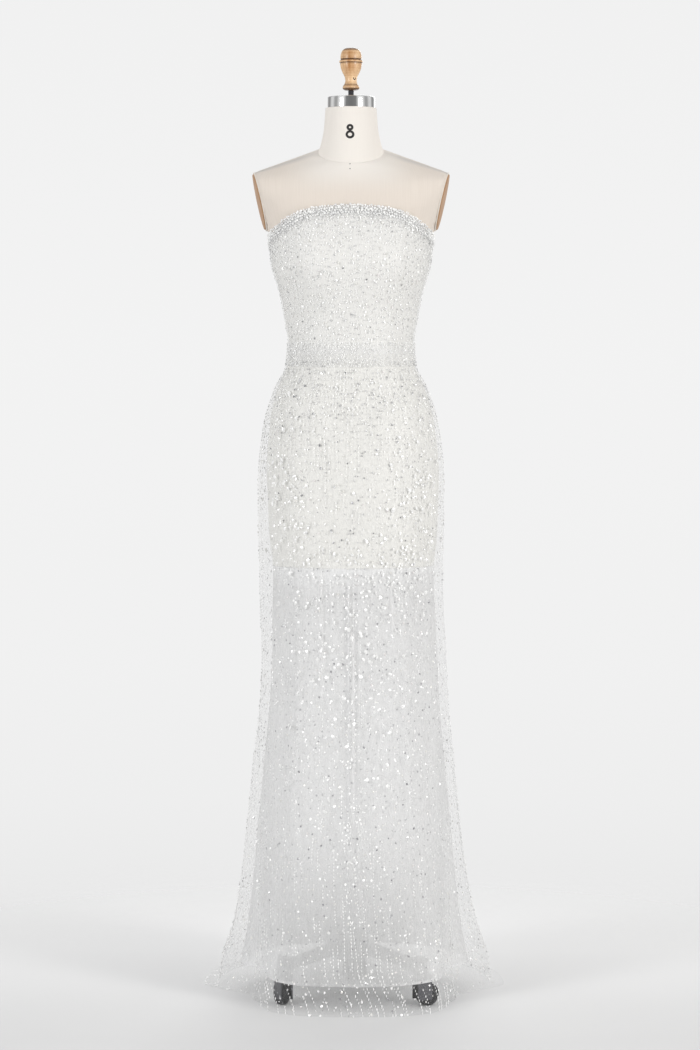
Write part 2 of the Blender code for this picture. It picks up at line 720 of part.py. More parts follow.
def build_skirt(name, ends):
    heights = np.array(FLOOR_ROWS + SKIRT_ROWS + [z for z in BODY_ROWS[:-2]] + [SKIRT_TOP])
    angle = columns(heights, *ends, splits=2)
    height = heights[:, None] + 0 * angle
    base, out = skirt_base(angle, height), normals(skirt_base, angle, height)
    lift = LAYERS["skirt"][0] * (1 - lying_share(angle, height)) + fold_height(angle, height)
    inside = base + out * lift[..., None]
    inside[..., 2] = np.maximum(inside[..., 2], 0.0)
    inside[0, :, 2] = 0.0
    thickness = LAYERS["skirt"][1] - LAYERS["skirt"][0]
    outside = inside + out * thickness
    outside[..., 2] = np.maximum(outside[..., 2], 0.0)
    wall(name, narrowed(inside, skirt_base, angle, height),
         narrowed(outside, skirt_base, angle, height), "beaded_net")


for name, ends in (("front", (-9, 9)), ("back_left", (9, 17)), ("back_right", (-17, -9))):
    build_bodice(f"bodice_{name}", ends)
    build_trim(f"neckline_trim_{name}", ends)
    build_band(f"waist_band_{name}", ends)
    build_skirt(f"skirt_{name}", ends)

# The zip's slider at the top of the centre back, its bail, and the tab that hangs from it.

ZIP_HEIGHT = 1.364
BAR = 0.0006              # half the thickness of the tab, whose top bar turns in the bail


def build_zip():
    at = (np.array(180.0), np.array(ZIP_HEIGHT))
    out = normals(dress_base, *at)
    across = np.array([-1.0, 0.0, 0.0])
    up = np.cross(out, across)
    seat = dress_base(*at) + out * (LAYERS["bodice"][1] + SEAM_GAP)
    body = [(-0.0022, -0.0050), (0.0022, -0.0050), (0.0031, -0.0030), (0.0034, 0.0030),
            (0.0026, 0.0050), (-0.0026, 0.0050), (-0.0034, 0.0030), (-0.0031, -0.0030)]
    extruded("zip_slider", body, (0.0, 0.0022), "zip_metal", seat, across, out, up)
    bar_middle = seat + out * (0.0022 + SEAM_GAP + 0.0019) + up * 0.0010
    ring_out, ring_in = [], []
    for i in range(16):
        turn = 2 * np.pi * (i + 0.5) / 16
        u, v = np.cos(turn), np.sin(turn)
        ring_out.append((u * 0.0019, v * 0.0019))
        ring_in.append((u * 0.00098, v * 0.00098))
    extruded("zip_bail", ring_out, (-0.0008, 0.0008), "zip_metal", bar_middle, -out, across, up,
             hole=ring_in)
    window = [(-0.0013, 0.0), (-0.0013, -0.0016), (-0.0013, -0.0032), (0.0, -0.0032),
              (0.0013, -0.0032), (0.0013, -0.0016), (0.0013, 0.0), (0.0, 0.0)]
    edge = [(-0.0022, 0.0012), (-0.0026, -0.0040), (-0.0026, -0.0215), (0.0, -0.0230),
            (0.0026, -0.0215), (0.0026, -0.0040), (0.0022, 0.0012), (0.0, 0.0012)]
    window = [(u, v - BAR) for u, v in window]
    edge = [(u, v - BAR) for u, v in edge]
    hung_out, hung_up = np.array([0.0, 1.0, 0.0]), np.array([0.0, 0.0, 1.0])
    extruded("zip_pull", edge, (-BAR, BAR), "zip_metal", bar_middle, across, hung_out, hung_up,
             origin=tuple(bar_middle), hole=window)


build_zip()
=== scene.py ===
# A beaded mermaid prom dress, worn on a castored dress form: its looks over the frame's solids.
# Metres, +Z up; the dress faces -Y, the wearer's left is +X and the floor is z = 0.
# Angles go round the stand's axis from the centre front, plus towards the wearer's left.
import math

import bmesh
import bpy
import numpy as np
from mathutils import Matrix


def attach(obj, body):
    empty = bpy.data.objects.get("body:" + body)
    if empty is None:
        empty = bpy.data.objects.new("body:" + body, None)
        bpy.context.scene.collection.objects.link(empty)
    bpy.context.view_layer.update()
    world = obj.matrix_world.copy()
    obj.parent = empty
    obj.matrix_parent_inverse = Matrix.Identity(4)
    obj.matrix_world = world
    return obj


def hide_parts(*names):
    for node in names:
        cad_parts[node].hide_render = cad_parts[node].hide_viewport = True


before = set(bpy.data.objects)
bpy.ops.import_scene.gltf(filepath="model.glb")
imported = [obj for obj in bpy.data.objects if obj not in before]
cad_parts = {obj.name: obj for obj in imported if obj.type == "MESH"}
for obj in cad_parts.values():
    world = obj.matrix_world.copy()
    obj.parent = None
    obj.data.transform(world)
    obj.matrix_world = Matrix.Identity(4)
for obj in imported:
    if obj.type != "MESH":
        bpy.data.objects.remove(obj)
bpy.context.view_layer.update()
print("frame loaded:", len(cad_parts), "nodes")

# Camera, at the photograph's height and distance from the stand's axis
viewpoint = {"right": -0.0019, "distance": 5.7263, "height": 1.1866, "pitchDown": 1.5,
             "lens": 105.22, "shiftUp": -0.077}
standY = -0.146                    # the stand's axis

cameraData = bpy.data.cameras.new("photoCamera")
cameraData.lens = viewpoint["lens"]
cameraData.shift_y = viewpoint["shiftUp"]
camera = bpy.data.objects.new("photoCamera", cameraData)
camera.location = (viewpoint["right"], standY - viewpoint["distance"], viewpoint["height"])
camera.rotation_euler = (math.radians(90 - viewpoint["pitchDown"]), 0, 0)
bpy.context.scene.collection.objects.link(camera)
bpy.context.scene.camera = camera

# The dress's own sizes, which the solids share
dress = {"flareFoot": 0.055, "liningHem": 0.812, "underskirtHem": 0.050, "bodiceFoot": 1.2045,
         "skirtTop": 1.2035, "bandFoot": 1.180, "bandTop": 1.228, "trimHeight": 0.022,
         "hangShift": 0.006, "underskirtShare": 0.70, "leastHeight": 0.0008}
layerOffset = {"lining": 0.0020, "bodice": 0.0036, "skirt": 0.0039, "trim": 0.0054,
               "band": 0.0056}

# Sections: height, half width, depth to the front, depth to the back, superellipse power
sections = np.array([
    (0.000, 0.1680, 0.120, 0.145, 2.00),
    (0.480, 0.1660, 0.119, 0.140, 2.00),
    (0.580, 0.1650, 0.118, 0.137, 2.05),
    (0.680, 0.1645, 0.118, 0.136, 2.10),
    (0.780, 0.1650, 0.119, 0.136, 2.10),
    (0.874, 0.1690, 0.120, 0.136, 2.12),
    (0.971, 0.1690, 0.118, 0.130, 2.15),
    (1.070, 0.1590, 0.112, 0.118, 2.15),
    (1.136, 0.1395, 0.104, 0.099, 2.10),
    (1.186, 0.1160, 0.098, 0.088, 2.05),
    (1.220, 0.1130, 0.098, 0.088, 2.05),
    (1.267, 0.1195, 0.102, 0.091, 2.05),
    (1.317, 0.1290, 0.106, 0.097, 2.10),
    (1.383, 0.1460, 0.107, 0.104, 2.15),
    (1.422, 0.1480, 0.102, 0.106, 2.20),
    (1.470, 0.1660, 0.091, 0.104, 2.40),
    (1.515, 0.1880, 0.076, 0.090, 2.60),
    (1.532, 0.1900, 0.069, 0.080, 2.50),
    (1.541, 0.1800, 0.066, 0.074, 2.35),
    (1.550, 0.1530, 0.064, 0.069, 2.20),
    (1.562, 0.1210, 0.061, 0.064, 2.10),
    (1.573, 0.0880, 0.058, 0.060, 2.00),
    (1.5795, 0.0610, 0.056, 0.056, 2.00),
])

# Flare of the skirt: height, share of the way from its column to its hem
flare = np.array([
    (0.055, 1.00),
    (0.126, 0.75),
    (0.238, 0.53),
    (0.360, 0.37),
    (0.472, 0.23),
    (0.547, 0.13),
    (0.640, 0.05),
    (0.780, 0.00),
])

# Hem on the floor, in plan: angle, x, y
hem = np.array([
    (0.0, 0.000, -0.182),
    (30.0, 0.098, -0.168),
    (52.0, 0.150, -0.127),
    (62.0, 0.166, -0.090),
    (72.0, 0.172, -0.045),
    (84.0, 0.179, 0.015),
    (98.0, 0.229, 0.075),
    (106.0, 0.245, 0.105),
    (120.0, 0.236, 0.175),
    (140.0, 0.198, 0.265),
    (160.0, 0.108, 0.330),
    (180.0, 0.000, 0.350),
])

# How the hem lies: angle, reach over the floor, share of the drop that is in the air
spread = np.array([
    (0.0, 0.000, 1.00),
    (60.0, 0.000, 1.00),
    (80.0, 0.012, 0.90),
    (100.0, 0.036, 0.62),
    (130.0, 0.062, 0.50),
    (180.0, 0.130, 0.50),
])

# How far hips, lining and underskirt stand in from the skirt's sides: height, right, left
hipEase = np.array([
    (0.300, 0.000, 0.000),
    (0.500, 0.006, 0.004),
    (0.700, 0.016, 0.010),
    (0.812, 0.022, 0.013),
    (0.874, 0.018, 0.010),
    (0.971, 0.014, 0.007),
    (1.070, 0.009, 0.005),
    (1.136, 0.003, 0.002),
    (1.170, 0.000, 0.000),
])

neckEdge = np.array([(0.0, 1.4780), (22.0, 1.4714), (39.0, 1.4594), (61.0, 1.4405),
                     (90.0, 1.4235), (120.0, 1.4110), (180.0, 1.4000)])
seamTop = 1.375
princessSeam = np.array([(0.000, 22.0), (0.971, 22.0), (1.136, 27.0), (1.220, 32.0),
                         (seamTop, 35.0), (1.580, 35.0)])
bust = {"x": 0.080, "z": 1.372, "height": 0.026, "width": 0.056, "tall": 0.062, "bridge": 0.55}
form = {"neckFoot": 1.5795, "neckTop": 1.6619, "neckTilt": 0.022, "tiltFrom": 1.505}
armPlate = {"x": 0.156, "z": 1.432, "lean": 0.222, "turn": 0.085, "middle": 0.006,
            "foot": 1.437, "top": 1.540, "halfDepth": 0.046, "thickness": 0.004}

# Largest folds: angle, half width in degrees, height at the hem, height where each starts
folds = [
    (-162.0, 12.0, 0.011, 0.62),
    (-138.0, 11.0, 0.014, 0.70),
    (-117.0, 10.0, 0.010, 0.58),
    (-98.0, 9.0, 0.012, 0.66),
    (-77.0, 8.0, 0.005, 0.50),
    (-50.0, 9.0, 0.004, 0.46),
    (-12.0, 8.0, 0.003, 0.38),
    (16.0, 8.0, 0.003, 0.44),
    (46.0, 9.0, 0.004, 0.40),
    (75.0, 8.0, 0.006, 0.54),
    (96.0, 9.0, 0.010, 0.60),
    (115.0, 10.0, 0.013, 0.68),
    (137.0, 11.0, 0.010, 0.56),
    (160.0, 12.0, 0.013, 0.72),
    (180.0, 9.0, 0.008, 0.50),
]

# Soft creases on the outer net: angle at the top, top, foot, half width in
# millimetres, height in millimetres (minus is a trough), degrees it drifts on the way down,
# and how much the gathered net thickens there
creases = [
    (-17.0, 0.86, 0.52, 3.6, 2.0, -3.0, 0.90),
    (-9.0, 0.84, 0.52, 4.0, 1.4, -2.0, 0.30),
    (-0.6, 0.85, 0.10, 5.0, 3.0, -1.5, 0.75),
    (3.0, 0.83, 0.46, 4.0, -1.2, 0.5, 0.25),
    (24.0, 0.88, 0.64, 3.6, 2.0, 1.5, 0.90),
    (11.5, 0.87, 0.50, 5.0, 1.8, 1.8, 0.25),
    (17.0, 0.84, 0.56, 5.0, -1.4, 1.0, 0.20),
    (-0.5, 0.44, 0.13, 3.6, 0.9, -9.0, 0.34),
    (0.0, 0.41, 0.16, 3.2, 0.8, -4.5, 0.42),
    (0.8, 0.43, 0.12, 3.4, 0.9, 3.5, 0.40),
    (1.4, 0.39, 0.15, 3.4, 0.8, 8.0, 0.34),
    (2.0, 0.36, 0.18, 3.8, 0.8, 13.0, 0.24),
    (-33.0, 0.80, 0.30, 9.0, 2.5, -6.0, 0.25),
    (31.0, 0.74, 0.26, 10.0, 2.8, 5.0, 0.25),
    (-47.0, 0.66, 0.12, 11.0, -2.6, -5.0, 0.00),
    (52.0, 0.62, 0.14, 12.0, -2.4, 6.0, 0.00),
    (-64.0, 0.95, 0.44, 9.0, 1.6, 2.0, 0.20),
    (66.0, 0.98, 0.50, 9.0, 1.5, -3.0, 0.20),
    (-84.0, 0.88, 0.22, 12.0, 3.0, -5.0, 0.25),
    (86.0, 0.90, 0.20, 12.0, 2.8, 6.0, 0.25),
    (104.0, 0.82, 0.10, 14.0, -3.2, 3.0, 0.00),
    (124.0, 0.92, 0.16, 13.0, 3.0, 5.0, 0.20),
    (147.0, 0.84, 0.12, 15.0, -3.4, 4.0, 0.00),
    (169.0, 0.98, 0.14, 12.0, 2.6, 4.0, 0.25),
    (-106.0, 0.86, 0.14, 13.0, 2.8, -4.0, 0.20),
    (-128.0, 0.80, 0.10, 15.0, -3.2, -4.0, 0.00),
    (-150.0, 0.94, 0.16, 13.0, 3.0, -5.0, 0.20),
    (-171.0, 0.88, 0.12, 13.0, -2.6, -3.0, 0.00),
]

# Drag lines across the bodice: angle, height, half length in degrees, half width and height in
# millimetres, and the slope in millimetres for each degree
dragLines = [
    (-27.0, 1.418, 20.0, 5.0, 0.7, -0.45),
    (-34.0, 1.398, 16.0, 4.0, 0.6, -0.30),
    (-22.0, 1.436, 14.0, 4.5, 0.5, -0.60),
    (33.0, 1.412, 17.0, 5.0, 0.6, 0.35),
    (58.0, 1.372, 15.0, 5.0, 0.5, 0.20),
    (-60.0, 1.350, 14.0, 5.0, 0.5, -0.25),
    (-12.0, 1.262, 18.0, 4.0, 0.5, 0.05),
    (30.0, 1.252, 22.0, 4.0, 0.5, -0.10),
    (70.0, 1.246, 15.0, 3.5, 0.5, 0.10),
    (-55.0, 1.250, 18.0, 4.0, 0.5, 0.12),
    (130.0, 1.256, 22.0, 4.5, 0.6, 0.08),
    (-140.0, 1.262, 20.0, 4.0, 0.6, -0.10),
    (115.0, 1.340, 16.0, 5.0, 0.5, 0.30),
    (-118.0, 1.352, 16.0, 5.0, 0.5, -0.30),
]


def smoothCurve(table, column, at):
    # A curve through a table's rows that turns only where the rows do
    at = np.asarray(at, float)
    known, values = table[:, 0], table[:, column]
    steps = np.diff(known)
    slopes = np.diff(values) / steps
    bends = np.empty(len(known))
    bends[0], bends[-1] = slopes[0], slopes[-1]
    for i in range(1, len(known) - 1):
        before, after = slopes[i - 1], slopes[i]
        if before * after <= 0.0:
            bends[i] = 0.0
            continue
        near, far = 2 * steps[i] + steps[i - 1], steps[i] + 2 * steps[i - 1]
        bends[i] = (near + far) / (near / before + far / after)
    clipped = np.clip(at, known[0], known[-1])
    i = np.clip(np.searchsorted(known, clipped, side="right") - 1, 0, len(steps) - 1)
    u = (clipped - known[i]) / steps[i]
    return ((1 + 2 * u) * (1 - u) ** 2 * values[i] + u * (1 - u) ** 2 * steps[i] * bends[i]
            + u * u * (3 - 2 * u) * values[i + 1] + u * u * (u - 1) * steps[i] * bends[i + 1])


def eased(u):
    u = np.clip(u, 0.0, 1.0)
    return u * u * (3 - 2 * u)


def signedPower(value, power):
    return np.sign(value) * np.abs(value) ** power


def wrappedAway(angle, middle):
    return (angle - middle + 180.0) % 360.0 - 180.0


def columnAt(angle, height):
    turn = np.radians(angle)
    sine, cosine = np.sin(turn), np.cos(turn)
    power = 2 / smoothCurve(sections, 4, height)
    front, back = smoothCurve(sections, 2, height), smoothCurve(sections, 3, height)
    x = smoothCurve(sections, 1, height) * signedPower(sine, power)
    x = x + dress["hangShift"] * eased((0.80 - height) / 0.20)
    y = -np.where(cosine > 0, front, back) * signedPower(cosine, power)
    return x, y, np.asarray(height, float) + 0 * x


def bustDepth(x, z, angle, bridge):
    rise = np.exp(-((z - bust["z"]) / bust["tall"]) ** 2)
    left = np.exp(-((x - bust["x"]) / bust["width"]) ** 2)
    right = np.exp(-((x + bust["x"]) / bust["width"]) ** 2)
    cups = np.maximum(left, right)
    between = np.where(np.abs(x) < bust["x"], cups + bridge * (1 - cups), cups)
    return bust["height"] * rise * between * eased(np.cos(np.radians(angle)) * 2.2)


def dressBase(angle, height):
    x, y, z = columnAt(angle, height)
    return np.stack([x, y - bustDepth(x, z, angle, bust["bridge"]), z], axis=-1)


def drawnIn(points, angle, height):
    sine = np.sin(np.radians(angle))
    ease = np.where(sine > 0, smoothCurve(hipEase, 2, height), smoothCurve(hipEase, 1, height))
    moved = points.copy()
    moved[..., 0] -= np.sign(sine) * ease * sine ** 2
    return moved


def liningBase(angle, height):
    return drawnIn(dressBase(angle, height), angle, height)


def torsoBase(angle, height):
    x, y, z = columnAt(angle, height)
    x = drawnIn(np.stack([x, y, z], axis=-1), angle, height)[..., 0]
    y = y - bustDepth(x, z, angle, 0.0)
    below = np.clip((0.971 - z) / 0.109, 0.0, 1.0) ** 1.5
    reach = np.hypot(x, y)
    x, y = x * (1 - 0.012 * below / reach), y * (1 - 0.012 * below / reach)
    tilt = eased((z - form["tiltFrom"]) / (form["neckFoot"] - form["tiltFrom"]))
    z = z + tilt * form["neckTilt"] * y / 0.056
    side = (armPlate["x"] + (z - armPlate["z"]) * armPlate["lean"]
            + (y - armPlate["middle"]) * armPlate["turn"])
    # The stub that each board is set on, and the flat end that the board covers
    tall = (armPlate["top"] - armPlate["foot"]) / 2
    reach = np.hypot((y - armPlate["middle"]) / armPlate["halfDepth"],
                     (z - armPlate["foot"] - tall) / tall)
    stub = eased((1.22 - reach) / 0.20) * eased((np.abs(x) - 0.09) / 0.03)
    out = np.abs(x) + np.maximum(side - np.abs(x), 0.0) * stub
    plated = (z > armPlate["foot"] - 0.02) & (z < armPlate["top"] + 0.002)
    x = np.where(plated, np.sign(x) * np.minimum(out, side), x)
    return np.stack([x, y, z], axis=-1)


def flared(angle, height, share):
    x, y, z = columnAt(angle, height)
    wrapped = wrappedAway(angle, 0.0)
    turn = np.abs(wrapped)
    toX = np.sign(wrapped) * smoothCurve(hem, 1, turn) + dress["hangShift"]
    toY = smoothCurve(hem, 2, turn)
    blend = smoothCurve(flare, 1, height) * share
    return np.stack([x + (toX - x) * blend, y + (toY - y) * blend, z], axis=-1)


def skirtBase(angle, height):
    # Above the flare's foot it hangs, and below it runs down and out over the floor
    foot = dress["flareFoot"]
    hung = flared(angle, np.maximum(height, foot), 1.0)
    down = np.clip((foot - height) / foot, 0.0, 1.0)
    turn = np.abs(wrappedAway(angle, 0.0))
    reach = smoothCurve(spread, 1, turn) * down ** 1.1
    inAir = smoothCurve(spread, 2, turn)
    left = np.clip(1 - down / inAir, 0.0, 1.0) ** (1 + 2 * (1 - inAir))
    outward = hung[..., :2] - np.array([0.0, 0.05])
    outward = outward / np.linalg.norm(outward, axis=-1, keepdims=True)
    plan = hung[..., :2] + outward * reach[..., None]
    z = np.where(height > foot, hung[..., 2], foot * left)
    return np.concatenate([plan, z[..., None]], axis=-1)


def underskirtBase(angle, height):
    return drawnIn(flared(angle, height, dress["underskirtShare"]), angle, height)


def lyingShare(angle, height):
    inAir = smoothCurve(spread, 2, np.abs(wrappedAway(angle, 0.0)))
    foot = dress["flareFoot"]
    return eased((foot - height) / foot / inAir) * eased((1 - inAir) / 0.2)


def foldHeight(angle, height):
    total = np.zeros(np.broadcast(angle, height).shape)
    for middle, halfWidth, tall, top in folds:
        away = np.abs(wrappedAway(angle, middle))
        across = np.where(away < halfWidth, np.cos(np.radians(90 * away / halfWidth)) ** 2, 0.0)
        total = total + tall * across * np.clip((top - height) / top, 0.0, 1.0) ** 1.2
    return total * (1 - lyingShare(angle, height))


def creaseHeight(angle, height, ridge=True):
    # Ridges and troughs of the outer net, or how far it gathers along them
    total = np.zeros(np.broadcast(angle, height).shape)
    for middle, top, foot, halfWidth, tall, drift, gather in creases:
        down = np.clip((top - height) / (top - foot), 0.0, 1.0)
        ends = eased(down * 4) * eased((1 - down) * 3)
        away = np.radians(wrappedAway(angle, middle + drift * down)) * 0.165
        across = np.exp(-(away / (halfWidth / 1000 * (1.0 if ridge else 0.55))) ** 2)
        total = total + (tall / 1000 if ridge else gather) * across * ends
    return total


def dragHeight(angle, height):
    total = np.zeros(np.broadcast(angle, height).shape)
    for middle, level, halfLength, halfWidth, tall, slope in dragLines:
        away = wrappedAway(angle, middle)
        rise = height - level - away * slope / 1000
        along = eased(1.3 - np.abs(away) / halfLength)
        total = total + tall / 1000 * along * np.exp(-(rise / (halfWidth / 1000)) ** 2)
    return total


def outwardOf(surface, angle, height):
    turnStep, riseStep = 0.25, 0.0005
    across = surface(angle + turnStep, height) - surface(angle - turnStep, height)
    up = surface(angle, height + riseStep) - surface(angle, height - riseStep)
    square = np.cross(across, up)
    return square / np.linalg.norm(square, axis=-1, keepdims=True)


def angleOf(number, height):
    # Columns are numbered: 0 centre front, 3 princess seam, 9 side seam, 17 centre back
    seam = smoothCurve(princessSeam, 1, height)
    n = np.abs(number)
    middle = seam + (90 - seam) * (n - 3) / 6
    back = 90 + 90 * (n - 9) / 8
    return np.sign(number) * np.where(n <= 3, seam * n / 3, np.where(n <= 9, middle, back))


def neckline(angle):
    return smoothCurve(neckEdge, 1, np.abs(angle))


def edgeOver(numbers):
    # The upper edge's height over numbered columns
    return neckline(angleOf(numbers, np.full(np.shape(numbers), seamTop)))


def skirtFace(angle, height):
    # The outer net as it hangs, with its folds and creases
    base, out = skirtBase(angle, height), outwardOf(skirtBase, angle, height)
    resting = 1 - lyingShare(angle, height)
    lift = layerOffset["skirt"] * resting + foldHeight(angle, height)
    lift = lift + creaseHeight(angle, height) * resting
    placed = base + out * lift[..., None]
    placed[..., 2] = np.maximum(placed[..., 2], dress["leastHeight"])
    return placed


def layerFace(base, layer, extra=None):
    # A face that lies a layer's thickness out from its base
    def face(angle, height):
        lift = layerOffset[layer] + (extra(angle, height)[..., None] if extra else 0.0)
        return base(angle, height) + outwardOf(base, angle, height) * lift
    return face


liningFace = layerFace(liningBase, "lining")
bodiceFace = layerFace(dressBase, "bodice", dragHeight)
trimFace = layerFace(dressBase, "trim")
bandFace = layerFace(dressBase, "band")


# Mesh helpers

def linked(name, data):
    made = bpy.data.objects.new(name, data)
    bpy.context.scene.collection.objects.link(made)
    return made


def meshObject(name, points, faces, material, smooth=True):
    mesh = bpy.data.meshes.new(name)
    placed = np.asarray(points, float) + np.array([0.0, standY, 0.0])
    mesh.from_pydata(placed.tolist(), [], faces)
    mesh.materials.append(material)
    mesh.polygons.foreach_set("use_smooth", [smooth] * len(mesh.polygons))
    return linked(name, mesh)


def crispEdges(made, degrees):
    made.modifiers.new("crisp edges", "EDGE_SPLIT").split_angle = math.radians(degrees)


def given(piece, node=None, body="root"):
    # The body that a piece rides, and the solid that it stands for
    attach(piece, body)
    if node:
        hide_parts(node)
    return piece


def gridFaces(rows, cols, wrap=False, wrapRows=False):
    lastRow, lastCol = rows - (not wrapRows), cols - (not wrap)
    return [(r * cols + c, r * cols + (c + 1) % cols, (r + 1) % rows * cols + (c + 1) % cols,
             (r + 1) % rows * cols + c) for r in range(lastRow) for c in range(lastCol)]


def gridObject(name, grid, material, gather=None):
    # A sheet from rows going up and columns to the wearer's left, with its UV map in metres
    rows, cols = grid.shape[:2]
    made = meshObject(name, grid.reshape(-1, 3), gridFaces(rows, cols), material)
    steps = np.linalg.norm(np.diff(grid, axis=1), axis=-1)
    u = np.concatenate([np.zeros((rows, 1)), np.cumsum(steps, axis=1)], axis=1)
    u = u - u[:, cols // 2][:, None]
    rises = np.linalg.norm(np.diff(grid, axis=0), axis=-1)
    v = np.concatenate([np.zeros((1, cols)), np.cumsum(rises, axis=0)], axis=0)
    flat = np.stack([u, v], axis=-1).reshape(-1, 2)
    corners = np.empty(len(made.data.loops), int)
    made.data.loops.foreach_get("vertex_index", corners)
    made.data.uv_layers.new(name="cloth").data.foreach_set("uv", flat[corners].ravel())
    # The field of how far a net gathers, which also holds the torso's painted shade
    if gather is not None:
        field = made.data.attributes.new("gather", "FLOAT", "POINT")
        field.data.foreach_set("value", gather.ravel())
    width, length = float(u[:, -1].max() - u[:, 0].min()), float(v[-1].max())
    area = float((steps[:-1] * rises[:, :-1]).sum())
    return made, (width, length, area)


sheetSizes = {}


def dressed(made, node, size):
    # Rides the body, stands for its solid and has its sheet's width and length noted
    given(made, node)
    width, length, area = size
    sheetSizes[node] = (round(width, 3), round(length, 3))


# Shader helpers

def plug(tree, socket, value):
    # Gives a socket another node's output, a colour or a constant
    if isinstance(value, bpy.types.NodeSocket):
        tree.links.new(value, socket)
    elif socket.type == "RGBA":
        socket.default_value = (*value, 1.0)
    else:
        socket.default_value = value


def newNode(tree, kind, inputs=(), **settings):
    # A node with its settings, and its inputs by name or number
    node = tree.nodes.new(kind)
    for label, value in settings.items():
        setattr(node, label, value)
    for label, value in dict(inputs).items():
        plug(tree, node.inputs[label], value)
    return node


def newGroup(name, inputs, outputs):
    group = bpy.data.node_groups.new(name, "ShaderNodeTree")
    for label, kind, value in inputs:
        group.interface.new_socket(label, in_out="INPUT", socket_type=kind).default_value = value
    for label, kind in outputs:
        group.interface.new_socket(label, in_out="OUTPUT", socket_type=kind)
    entry, leave = newNode(group, "NodeGroupInput"), newNode(group, "NodeGroupOutput")
    return group, entry.outputs, leave.inputs


def mathNode(tree, operation, *values):
    node = newNode(tree, "ShaderNodeMath", dict(enumerate(values)), operation=operation)
    return node.outputs[0]


def mixColour(tree, factor, first, second):
    inputs = {0: factor, 6: first, 7: second}
    return newNode(tree, "ShaderNodeMix", inputs, data_type="RGBA").outputs[2]


def noiseNode(tree, vector, scale, detail=2.0):
    inputs = {"Vector": vector, "Scale": scale, "Detail": detail}
    return newNode(tree, "ShaderNodeTexNoise", inputs).outputs["Fac"]


def stretched(tree, vector, scale):
    return newNode(tree, "ShaderNodeMapping", {"Vector": vector, "Scale": scale}).outputs[0]


def mapped(tree, value, low, high, first=0.0, last=1.0, curve="LINEAR"):
    inputs = {"Value": value, "From Min": low, "From Max": high, "To Min": first, "To Max": last}
    return newNode(tree, "ShaderNodeMapRange", inputs, interpolation_type=curve).outputs[0]


def placeParts(tree, coordinates="Object"):
    # Where a surface is, and its X, Y and Z
    place = newNode(tree, "ShaderNodeTexCoord").outputs[coordinates]
    return place, newNode(tree, "ShaderNodeSeparateXYZ", {0: place}).outputs


def fieldOf(tree, name):
    return newNode(tree, "ShaderNodeAttribute", attribute_name=name).outputs["Fac"]


def clothMap(tree):
    return newNode(tree, "ShaderNodeUVMap", uv_map="cloth").outputs[0]


def rampNode(tree, value, stops, low=0.0, high=1.0, curve="LINEAR"):
    # A grey or a colour that follows stops of (value, tone), mapped to the ramp's 0 to 1
    node = newNode(tree, "ShaderNodeValToRGB", {0: mapped(tree, value, low, high)})
    ramp = node.color_ramp
    ramp.interpolation = curve
    while len(ramp.elements) < len(stops):
        ramp.elements.new(1.0)
    for element, (at, tone) in zip(ramp.elements, stops):
        element.position = (at - low) / (high - low)
        element.color = (*np.broadcast_to(tone, 3), 1.0)
    return node.outputs[0]


# Woven threads with uneven slubs, read from a map in metres
weaveGroup, weaveIn, weaveOut = newGroup(
    "wovenThreads",
    [("Map", "NodeSocketVector", (0, 0, 0)), ("Thread", "NodeSocketFloat", 0.0008),
     ("Slub", "NodeSocketFloat", 0.5)],
    [("Height", "NodeSocketFloat"), ("Tone", "NodeSocketFloat")])
weaveParts = newNode(weaveGroup, "ShaderNodeSeparateXYZ", {0: weaveIn["Map"]}).outputs
waves = []
for axis in (0, 1):
    turns = mathNode(weaveGroup, "DIVIDE", weaveParts[axis], weaveIn["Thread"])
    waves.append(mathNode(weaveGroup, "SINE", mathNode(weaveGroup, "MULTIPLY", turns, math.tau)))
crossed = mathNode(weaveGroup, "MULTIPLY", *waves)
slubs = noiseNode(weaveGroup, stretched(weaveGroup, weaveIn["Map"], (420, 14, 1)), 1.0)
slubHeight = mathNode(weaveGroup, "MULTIPLY", slubs, weaveIn["Slub"])
plug(weaveGroup, weaveOut["Height"], mathNode(weaveGroup, "ADD", crossed, slubHeight))
plug(weaveGroup, weaveOut["Tone"], slubs)

# Uneven tone over a surface, in Object coordinates
mottleGroup, mottleIn, mottleOut = newGroup(
    "unevenTone",
    [("Scale", "NodeSocketFloat", 20.0), ("Light", "NodeSocketColor", (1, 1, 1, 1)),
     ("Dark", "NodeSocketColor", (0, 0, 0, 1))],
    [("Colour", "NodeSocketColor")])
mottleShare = noiseNode(mottleGroup, placeParts(mottleGroup)[0], mottleIn["Scale"], 3.0)
plug(mottleGroup, mottleOut["Colour"],
     mixColour(mottleGroup, mottleShare, mottleIn["Dark"], mottleIn["Light"]))


def newFinish(name, roughness, metallic=0.0):
    # A material, its tree and its shader's inputs
    made = bpy.data.materials.new(name)
    made.use_nodes = True
    shader = made.node_tree.nodes["Principled BSDF"].inputs
    shader["Roughness"].default_value = roughness
    shader["Metallic"].default_value = metallic
    return made, made.node_tree, shader


def mottledFinish(name, light, dark, scale, roughness, metallic=0.0):
    made, tree, shader = newFinish(name, roughness, metallic)
    tone = newNode(tree, "ShaderNodeGroup", node_tree=mottleGroup)
    for label, value in (("Scale", scale), ("Light", light), ("Dark", dark)):
        plug(tree, tone.inputs[label], value)
    plug(tree, shader["Base Color"], tone.outputs["Colour"])
    return made


def woven(tree, thread, slub):
    node = newNode(tree, "ShaderNodeGroup", node_tree=weaveGroup)
    for label, value in (("Map", clothMap(tree)), ("Thread", thread), ("Slub", slub)):
        plug(tree, node.inputs[label], value)
    return node.outputs


